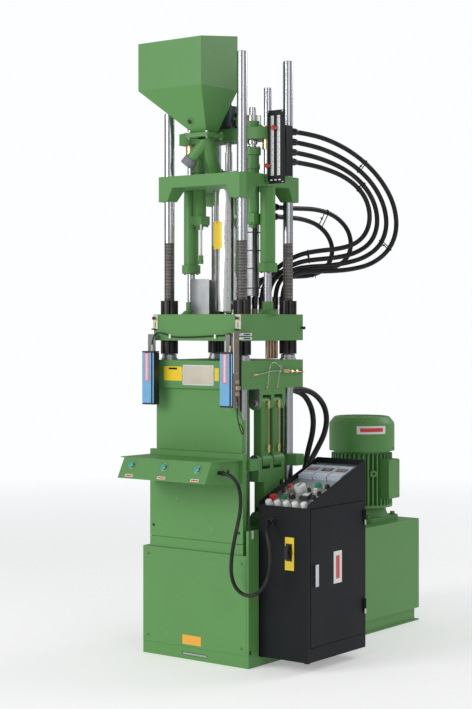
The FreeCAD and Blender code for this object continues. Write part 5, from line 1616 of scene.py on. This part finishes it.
# ---------------------------------------------------------------- control cabinet
@dataclass
class ControlCabinet:
    """The control cabinet with its sloping console."""

    cad: CadParts
    left: float = 0.2725
    right: float = 0.51
    front: float = -0.16
    panel_low: float = 0.633
    slope: float = 0.147 / 0.41
    door_face: float = 0.511
    lamp_x: tuple[float, ...] = (0.3065, 0.349, 0.3915, 0.434, 0.4765)
    boxes_x: tuple[float, ...] = (0.3195, 0.3895, 0.4595)
    stop: Flat = (0.2985, -0.094)
    start: Flat = (0.3385, -0.08)
    selector: Flat = (0.3785, -0.076)
    timer: Flat = (0.3645, -0.002)
    lamp_y: float = -0.136

    def __post_init__(self) -> None:
        """Work out the console's normal and the way up its slope."""
        self.normal: Point = tuple(Vector((0, -self.slope, 1)).normalized())
        self.rise: Point = tuple(Vector((0, 1, self.slope)).normalized())

    def on_panel(self, x: float, y: float, lift: float = 0.0) -> Point:
        """Return the point above the console's surface.

        Args:
            x: its place across.
            y: its place along, at the surface.
            lift: its height over the surface.

        Returns:
            The point in metres.
        """
        seat = Vector((x, y, self.panel_low + self.slope * (y - self.front)))
        return tuple(seat + Vector(self.normal) * lift)

    def build(self) -> None:
        """Build every piece of the cabinet."""
        hinges = [
            ((self.right + 0.0002, 0.22, z), (self.right + 0.02, 0.252, z + 0.064)) for z in (0.178, 0.538)
        ]
        self.cad.soft_copy("control_cabinet", BLACK, 0.0016, (ZINC, hinges))
        self.cad.soft_copy("cabinet_door", BLACK, 0.0012)
        self.cad.soft_copy("door_handle", CHROME, 0.0022)
        self.cad.soft_copy("isolator_handle", BLACK_PLASTIC, 0.002)
        self._console()
        self._console_trim()
        self._fields()

    def _console(self) -> None:
        """Dress the console panel, its buttons and its knobs."""
        lamps = [((x - 0.0135, -0.1545, 0.6385), (x + 0.0135, -0.1235, 0.664)) for x in self.lamp_x]
        meter = ((0.414, -0.0875, 0.665), (0.455, -0.043, 0.689))
        cases = [((x - 0.0335, 0.09, 0.7295), (x + 0.0335, 0.1965, 0.777)) for x in self.boxes_x]
        self.cad.soft_copy(
            "console_panel", ALLOY, 0.001, (WHITE_PLASTIC, lamps), (BLACK_PLASTIC, [meter]),
            (CASE_GREY, cases),
        )
        for body, (x, y), radius, height, finish in (
            (Body.STOP, self.stop, 0.016, 0.016, RED), (Body.START, self.start, 0.013, 0.01, SIGNAL_GREEN),
        ):
            cap = Form()
            cap.button(self.on_panel(x, y), self.normal, radius, height, finish)
            cap.place(body.value + "_cap", body, body.value)
        self.cad.soft_copy("selector_knob", BLACK_PLASTIC, 0.0026)
        self.cad.soft_copy("timer_knob", WHITE_PLASTIC, 0.003)
        for body, (x, y), lift, wide, finish in (
            (Body.SELECTOR, self.selector, 0.0203, 0.018, WHITE_PLASTIC),
            (Body.TIMER, self.timer, 0.0243, 0.034, BLACK_PLASTIC),
        ):
            mark = Form()
            self._lay(mark, x, y, lift, (wide * 0.16, wide, 0.0008), finish)
            mark.place(body.value + "_mark", body)

    def _lay(self, form: Form, x: float, y: float, lift: float, size: Point, finish: Finish) -> None:
        """Lay a flat block on the console, in line with its slope.

        Args:
            form: the piece that it belongs to.
            x: its middle across.
            y: its middle along.
            lift: its foot's height over the panel.
            size: its width, length and thickness.
            finish: its finish.
        """
        form.tile(self.on_panel(x, y, lift), self.normal, size, finish, up=self.rise)

    def _console_trim(self) -> None:
        """Add bezels, the meter's dial, the controllers' windows and the small switches."""
        trim = Form()
        lens = [(0, 0), (0.0118, 0), (0.01, 0.0028), (0.006, 0.0046), (0, 0.0052)]
        for x in self.lamp_x:
            trim.ring(self.on_panel(x, self.lamp_y), self.normal, 0.0132, 0.0165, 0.0035, ZINC)
            trim.turn(lens, self.on_panel(x, self.lamp_y, 0.018), self.normal, WHITE_PLASTIC, 28)
            self._lay(trim, x, -0.115, 0.0, (0.026, 0.0045, 0.0006), WHITE_FIELD)
        for (x, y), size in (
            (self.stop, 0.0168), (self.start, 0.0138), (self.selector, 0.0138), (self.timer, 0.0248),
        ):
            trim.ring(self.on_panel(x, y), self.normal, size, size + 0.004, 0.0028, ZINC)
        self._lay(trim, 0.4345, -0.0632, 0.014, (0.034, 0.034, 0.001), DARK_CASE)
        self._lay(trim, 0.4345, -0.06, 0.015, (0.028, 0.02, 0.0004), WHITE_FIELD)
        needle = self.on_panel(0.4345, -0.062, 0.0154)
        trim.tile(needle, self.normal, (0.0008, 0.015, 0.0003), RED_FIELD, up=(0.35, 0.88, 0.315), soft=0)
        for x, y, size, finish in (
            (0.478, -0.07, 0.0105, BLACK_PLASTIC), (0.478, -0.033, 0.0105, BLACK_PLASTIC),
            (0.43, 0.033, 0.016, SIGNAL_GREEN), (0.478, 0.025, 0.012, BLACK_PLASTIC),
            (0.306, -0.033, 0.009, BLACK_PLASTIC), (0.306, 0.008, 0.009, RED),
            (0.415, -0.012, 0.009, BLACK_PLASTIC), (0.445, -0.012, 0.009, WHITE_PLASTIC),
        ):
            neck = size * 0.82
            switch = [(0, 0.001), (size, 0.001), (size, 0.007), (neck, 0.009), (neck, 0.0165),
                      (size * 0.7, 0.018), (0, 0.018)]
            trim.ring(self.on_panel(x, y), self.normal, size * 0.7, size * 1.25, 0.003, ZINC)
            trim.turn(switch, self.on_panel(x, y), self.normal, finish, 24)
            self._lay(trim, x, y + size + 0.009, 0.0, (size * 2, 0.005, 0.0006), WHITE_FIELD)
        for x in self.boxes_x:
            self._lay(trim, x, 0.158, 0.016, (0.05, 0.03, 0.0012), DARK_CASE)
            for y, finish in ((0.152, RED_FIELD), (0.164, TEAL)):
                self._lay(trim, x, y, 0.0172, (0.038, 0.007, 0.0003), finish)
            for dx in (-0.021, -0.007, 0.007, 0.021):
                self._lay(trim, x + dx, 0.116, 0.016, (0.01, 0.011, 0.0016), WHITE_PLASTIC)
        for x in (self.left + 0.012, self.right - 0.012):
            for y in (-0.146, 0.045, 0.236):
                trim.screw(self.on_panel(x, y), self.normal, 0.0034)
        trim.place("console_trim", Body.FRAME)

    def _fields(self) -> None:
        """Add the plain fields, the conduit's gland and the feet's studs."""
        trim = Form()
        x, z = ISOLATOR
        trim.tile((x + 0.0025, self.front, z - 0.0055), AHEAD, (0.043, 0.129, 0.0008), YELLOW_FIELD)
        trim.tile((x, self.front - 0.0008, z), AHEAD, (0.03, 0.068, 0.001), BLACK_PLASTIC)
        gland = [(0.0078, 0), (0.015, 0), (0.015, 0.005), (0.0125, 0.006), (0.0125, 0.016), (0.0095, 0.02),
                 (0.0078, 0.02), (0.0078, 0)]
        trim.turn(gland, (0.338, self.front, 0.58), AHEAD, BLACK_PLASTIC, 12)
        for x in (0.284, 0.498):
            trim.rod((x, -0.148, 0.0412), DOWN, 0.003, 0.012, OXIDE, 20)
        trim.place("cabinet_trim", Body.FRAME)
        door = Form()
        field = (self.door_face, 0.045, 0.3915)
        door.tile(field, RIGHT, (0.058, 0.127, 0.0007), WHITE_FIELD)
        door.tile(field, RIGHT, (0.026, 0.092, 0.001), RED_FIELD)
        door.place("door_field", Body.DOOR)


# ---------------------------------------------------------------- power unit
@dataclass
class PowerUnit:
    """The oil tank with the pump motor and the valves."""

    cad: CadParts
    axis: Flat = (0.085, 0.88)
    tank_top: float = 0.465
    foot_top: float = 0.487
    cowl_r: float = 0.148
    cowl_sheet: float = 0.003
    fins: float = 0.138
    feet: float = 0.142
    cowl_low: float = 0.782
    cowl_high: float = 0.936
    level_x: float = -0.2792
    gauge: Flat = (0.13, 0.668)

    def build(self) -> None:
        """Build every piece of the power unit."""
        self.cad.soft_copy("oil_tank", GREEN, 0.002)
        self.cad.soft_copy("motor_body", GREEN, 0.001)
        self.cad.soft_copy("valve_block", OXIDE, 0.0014)
        self.cad.finish_plain(BLACK_PLASTIC, "motor_fan")
        self._cowl()
        self._motor_trim()
        self._tank_trim()

    def _cowl(self) -> None:
        """Build the rounded fan cowl with its grille and its plain label."""
        x, y = self.axis
        cowl = Form()
        low, high, out, rim = self.cowl_low, self.cowl_high, self.cowl_r, 0.116
        inner = out - self.cowl_sheet
        profile = [(inner, low), (out, low), (out, high - 0.036), (inner, high - 0.026)]
        profile += [(out - 0.019, high - 0.006), (out - 0.024, high - 0.0015), (rim, high)]
        profile += [(rim, high - 0.003), (out - 0.025, high - 0.0045), (out - 0.006, high - 0.028)]
        profile += [(inner, high - 0.038), (inner, low)]
        cowl.turn(profile, (x, y, 0.0), UP, GREEN, 64)
        for radius in (0.018, 0.036, 0.054, 0.072, 0.09, 0.108):
            cowl.ring((x, y, high - 0.0035), UP, radius - 0.0035, radius + 0.0035, 0.003, GREEN, 48)
        middle = Vector((x, y, high - 0.0045))
        for k in range(4):
            angle = math.radians(45 * k)
            reach = Vector((math.cos(angle), math.sin(angle), 0.0)) * (rim + 0.001)
            cowl.rod(tuple(middle - reach), tuple(reach), 2 * reach.length, 0.0022, GREEN, 10)
        foot = (x, y, low + 0.012)
        for spot in around(foot, out - 0.0005, 4, 15):
            cowl.bolt(spot, tuple(Vector(spot) - Vector(foot)), 0.01, 0.004, GREEN)
        for span, heights, lift, finish in (
            ((-66, -12), (0.862, 0.898), 0.0007, WHITE_FIELD),
            ((-60, -18), (0.872, 0.889), 0.0011, RED_FIELD),
        ):
            cowl.bent_sheet(self.axis, (out - 0.001, out + lift), span, heights, finish)
        cowl.place("rounded_cowl", Body.FRAME, "motor_cowl")

    def _motor_trim(self) -> None:
        """Add the motor's boss, its foot bolts and the terminal box lid."""
        trim = Form()
        x, y = self.axis
        turned = math.radians(-36)
        way = (math.cos(turned), math.sin(turned), 0.0)
        inset = self.fins - 0.02
        boss = (x + inset * way[0], y + inset * way[1], 0.685)
        trim.ring(boss, way, 0.0065, 0.0155, 0.03, GREEN)
        trim.rod(boss, way, 0.024, 0.0066, OXIDE, 20)
        for spot in around((x, y, self.foot_top), self.feet, 4, 45):
            trim.bolt(spot, UP, 0.024, 0.014, GREEN)
        box_x = x + self.fins + 0.028
        lid_x = box_x + 0.007
        trim.box((box_x + 0.0002, y - 0.046, 0.574), (lid_x, y + 0.046, 0.746), GREEN, 0.002)
        for dy in (-0.038, 0.038):
            for z in (0.584, 0.736):
                trim.screw((lid_x, y + dy, z), RIGHT, 0.004, GREEN)
        trim.place("motor_trim", Body.FRAME)

    def _tank_trim(self) -> None:
        """Add the breather, the cover plate, the level gauge, the pressure gauge and the valve coils."""
        trim = Form()
        plate = self.tank_top + 0.004
        breather = [(0, 0), (0.03, 0), (0.03, 0.004), (0.012, 0.006), (0.012, 0.03), (0.034, 0.034),
                    (0.036, 0.038), (0.036, 0.062), (0.032, 0.07), (0, 0.072)]
        trim.turn(breather, (-0.17, 0.56, self.tank_top), UP, CHROME, 40)
        trim.box((-0.235, 0.64, self.tank_top), (-0.075, 1.02, plate), GREEN, 0.001)
        for x in (-0.222, -0.088):
            for y in (0.655, 0.77, 0.89, 1.005):
                trim.bolt((x, y, plate), UP, 0.013, 0.006)
        trim.box((self.level_x, 0.42, 0.19), (self.level_x + 0.012, 0.446, 0.39), ALLOY, 0.002)
        trim.box((-0.2805, 0.426, 0.205), (-0.2794, 0.44, 0.375), TUBE, 0.0004)
        for z in (0.2, 0.38):
            trim.bolt((self.level_x, 0.433, z), LEFT, 0.014, 0.005)
        self._gauge(trim)
        for y in (0.334, 0.386, 0.438):
            trim.box((-0.092, y - 0.017, 0.4925), (-0.0402, y + 0.017, 0.527), BLACK_PLASTIC, 0.003)
            trim.rod((-0.092, y, 0.51), LEFT, 0.01, 0.009, ZINC, 6)
            trim.box((-0.08, y - 0.014, 0.5272), (-0.052, y + 0.014, 0.548), CAP_GREY, 0.002)
        trim.place("tank_trim", Body.FRAME)

    def _gauge(self, trim: Form) -> None:
        """Add the pressure gauge on the valve block.

        Args:
            trim: the piece that it belongs to.
        """
        x, z = self.gauge
        trim.rod((x, 0.318, 0.6102), UP, 0.03, 0.0075, BRASS, 6)
        trim.rod((x, 0.318, 0.64), UP, 0.024, 0.0075, BRASS, 12)
        trim.rod((x, 0.306, z), AHEAD, 0.026, 0.031, CHROME, 40, 0.002)
        trim.rod((x, 0.2798, z), AHEAD, 0.001, 0.027, WHITE_FIELD, 40, 0.0002)
        needle = (x + 0.004, 0.2786, z + 0.006)
        trim.tile(needle, AHEAD, (0.0012, 0.026, 0.0004), BLACK, up=(0.6, 0, 0.8), soft=0)


# ---------------------------------------------------------------- hoses
@dataclass
class Hoses:
    """The hydraulic hoses, the console's conduit and their ties."""

    upper_radius: float = 0.01
    rear_radius: float = 0.012
    conduit_radius: float = 0.0075
    bend_start: Point = (0.0, 0.19, 1.45)
    bend_end: Point = (0.0, 0.19, 1.9)
    strap_radius: float = 0.0022

    def build(self) -> None:
        """Build every hose and tie."""
        upper, lower = [], []
        for name, routes, radius, lines in (
            ("upper", UPPER_ROUTES, self.upper_radius, upper),
            ("lower", LOWER_ROUTES, self.upper_radius, lower),
            ("rear", REAR_ROUTES, self.rear_radius, None),
        ):
            for k, route in enumerate(routes, 1):
                path = self._hose("%s_hose_%d" % (name, k), route, radius, name + "_hoses", lines is not None)
                if lines is not None:
                    lines.append(path)
        self._hose("console_conduit", CONDUIT_ROUTE, self.conduit_radius, "front_cables", False)
        for number, (bundle, first, share) in enumerate(
            ((upper, 0, 0.2), (upper, 2, 0.24), (upper, 0, 0.46), (upper, 2, 0.72), (upper, 1, 0.66),
             (lower, 0, 0.22), (lower, 0, 0.66)), 1,
        ):
            self._strap("hose_tie_%d" % number, bundle[first], bundle[first + 1], share)
        self._rear_ends()

    def _hang(self, name: str, form: Form, bending: bool) -> bpy.types.Object:
        """Make a hose or a tie: one between the clamp and the carriage is left in place on no body, any other
        rides on the frame.

        Args:
            name: the piece's name.
            form: its mesh.
            bending: whether it runs between the clamp and the carriage, and so is left on no body.

        Returns:
            The piece.
        """
        piece = settle(name, form.mesh, form.finishes)
        if bending:
            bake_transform(piece)
        else:
            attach(piece, Body.FRAME.value)
        return piece

    def _hose(
        self, name: str, route: Sequence[Point], radius: float, node: str, bending: bool,
    ) -> list[Vector]:
        """Args:
            name: the piece's name.
            route: its control points in metres.
            radius: its radius.
            node: the CAD node that it stands for.
            bending: whether it runs between the clamp and the carriage, and so is left on no body.

        Returns:
            The points of its centreline.
        """
        line = curve_mesh(route, 0.0)
        path = [vertex.co.copy() for vertex in line.vertices]
        bpy.data.meshes.remove(line)
        tube = Form()
        tube.pipe(route, radius, RUBBER)
        piece = self._hang(name, tube, bending)
        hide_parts(node)
        return path

    def _strap(self, name: str, one: Sequence[Vector], other: Sequence[Vector], share: float) -> None:
        """Tie two hoses together.

        Args:
            name: the tie's name.
            one: the first hose's centreline.
            other: the second hose's centreline.
            share: how far along the first hose it sits, from 0 to 1.
        """
        index = round(share * (len(one) - 1))
        here = one[index]
        there = min(other, key=lambda point: (point - here).length)
        along = (one[index + 1] - one[index - 1]).normalized()
        across = there - here
        across -= along * across.dot(along)
        span = across.length
        across.normalize()
        up = along.cross(across)
        reach = self.upper_radius + self.strap_radius * 0.6
        loop = []
        for k in range(25):
            angle = math.pi / 2 + 2 * math.pi * k / 24
            centre = there if math.cos(angle) > 0 else here
            foot = here + across * (span if centre is there else 0.0)
            loop.append(tuple(foot + (across * math.cos(angle) + up * math.sin(angle)) * reach))
        form = Form()
        form.pipe(loop + [loop[1]], self.strap_radius, BLACK_PLASTIC)
        head = here + across * span * 0.5 + up * reach
        tip = head + up * 0.02 + along * 0.005
        tail = [tuple(head), tuple(head + up * 0.01), tuple(tip)]
        form.pipe(tail, self.strap_radius * 0.6, BLACK_PLASTIC)
        form.ball(tuple(head), self.strap_radius * 2.2, BLACK_PLASTIC, 12)
        self._hang(name, form, True)

    def _rear_ends(self) -> None:
        """Build the crimped ends of the rear hoses."""
        ends = Form()
        crimp = [(0.0124, 0.0102), (0.0165, 0.0102), (0.016, 0.02), (0.0168, 0.026), (0.016, 0.032),
                 (0.0155, 0.04), (0.0124, 0.042), (0.0124, 0.0102)]
        for route in REAR_ROUTES:
            for at, on in ((route[0], route[1]), (route[-1], route[-2])):
                way = tuple(Vector(on) - Vector(at))
                ends.rod(at, way, 0.01, 0.0195, ZINC, 6, 0.001)
                ends.turn(crimp, at, way, OXIDE, 20)
        ends.place("rear_hose_crimps", Body.FRAME)


# ---------------------------------------------------------------- studio
@dataclass
class Studio:
    """The camera, the lights, the pale floor and the white surround."""

    place: Point = (4.00264, -5.18421, 1.35984)
    heading: float = 37.41
    lens: float = 80.33
    shift: float = -0.0449
    floor_size: float = 60.0
    surround: float = 0.44

    def build(self) -> None:
        """Build the whole studio."""
        self._camera()
        self._floor()
        self._world()
        self._light("key", (-2.3, -6.8, 3.5), (0.0, 0.2, 1.2), 3.4, 245.0)
        self._light("fill", (5.6, -3.0, 3.2), (0.1, 0.2, 1.1), 2.6, 30.0)
        self._light("rim", (2.5, 5.0, 4.4), (0.0, 0.2, 1.4), 2.6, 80.0)
        self._flag("flag_left", (-3.4, -1.2, 1.6), (0.5, 3.4))
        self._flag("flag_right", (3.9, 0.9, 1.6), (0.4, 3.4))
        scene = bpy.context.scene
        scene.view_settings.view_transform = "Standard"

    def _camera(self) -> None:
        """Set the camera at the matched view."""
        data = bpy.data.cameras.new("camera")
        data.lens = self.lens
        data.shift_y = self.shift
        data.clip_end = 100.0
        camera = bpy.data.objects.new("camera", data)
        camera.location = self.place
        camera.rotation_euler = (math.radians(90), 0.0, math.radians(self.heading))
        bpy.context.scene.collection.objects.link(camera)
        bpy.context.scene.camera = camera

    def _floor(self) -> None:
        """Lay the plain pale floor."""
        mesh = bmesh.new()
        bmesh.ops.create_grid(mesh, x_segments=1, y_segments=1, size=self.floor_size / 2)
        settle("floor", mesh, (FLOOR,))

    def _world(self) -> None:
        """Set the surround: white behind the machine, softer where it lights it."""
        world = bpy.data.worlds.new("surround")
        world.use_nodes = True
        nodes, links = world.node_tree.nodes, world.node_tree.links
        back = nodes["Background"]
        back.inputs["Color"].default_value = (0.98, 0.99, 1.0, 1.0)
        seen = nodes.new("ShaderNodeLightPath")
        level = nodes.new("ShaderNodeMapRange")
        level.inputs["To Min"].default_value = self.surround
        level.inputs["To Max"].default_value = 1.0
        links.new(seen.outputs["Is Camera Ray"], level.inputs["Value"])
        links.new(level.outputs["Result"], back.inputs["Strength"])
        bpy.context.scene.world = world

    @staticmethod
    def _light(name: str, place: Point, target: Point, size: float, power: float) -> None:
        """Hang one soft light.

        Args:
            name: its name.
            place: where it hangs.
            target: what it points at.
            size: the side of its square.
            power: its power in watts.
        """
        data = bpy.data.lights.new(name, "AREA")
        data.energy = power
        data.size = size
        lamp = bpy.data.objects.new(name, data)
        lamp.location = place
        lamp.rotation_euler = (Vector(target) - Vector(place)).to_track_quat("-Z", "Y").to_euler()
        bpy.context.scene.collection.objects.link(lamp)

    @staticmethod
    def _flag(name: str, place: Point, size: Flat) -> None:
        """Stand a dark card that the bright bars mirror.

        Args:
            name: its name.
            place: its centre.
            size: its width and height.
        """
        way = Vector((-place[0], -place[1], 0.0)).normalized()
        card = Form()
        card.tile(place, tuple(way), (size[0], size[1], 0.01), OXIDE)
        piece = settle(name, card.mesh, card.finishes)
        piece.visible_camera = piece.visible_shadow = piece.visible_diffuse = False


def main() -> None:
    """Build the whole scene."""
    logging.basicConfig(level=logging.INFO, format="%(levelname)s %(message)s")
    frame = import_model()
    cad = CadParts(frame)
    for part in (
        BaseStand(cad), FrontPanels(cad), FixedTable(cad), ToggleLinks(cad), ClampPlaten(cad), Carriage(cad),
        Ram(cad), FeedHopper(cad), StrokeScale(cad), ControlCabinet(cad), PowerUnit(cad), Hoses(), Studio(),
    ):
        part.build()


if __name__ == "__main__":
    main()
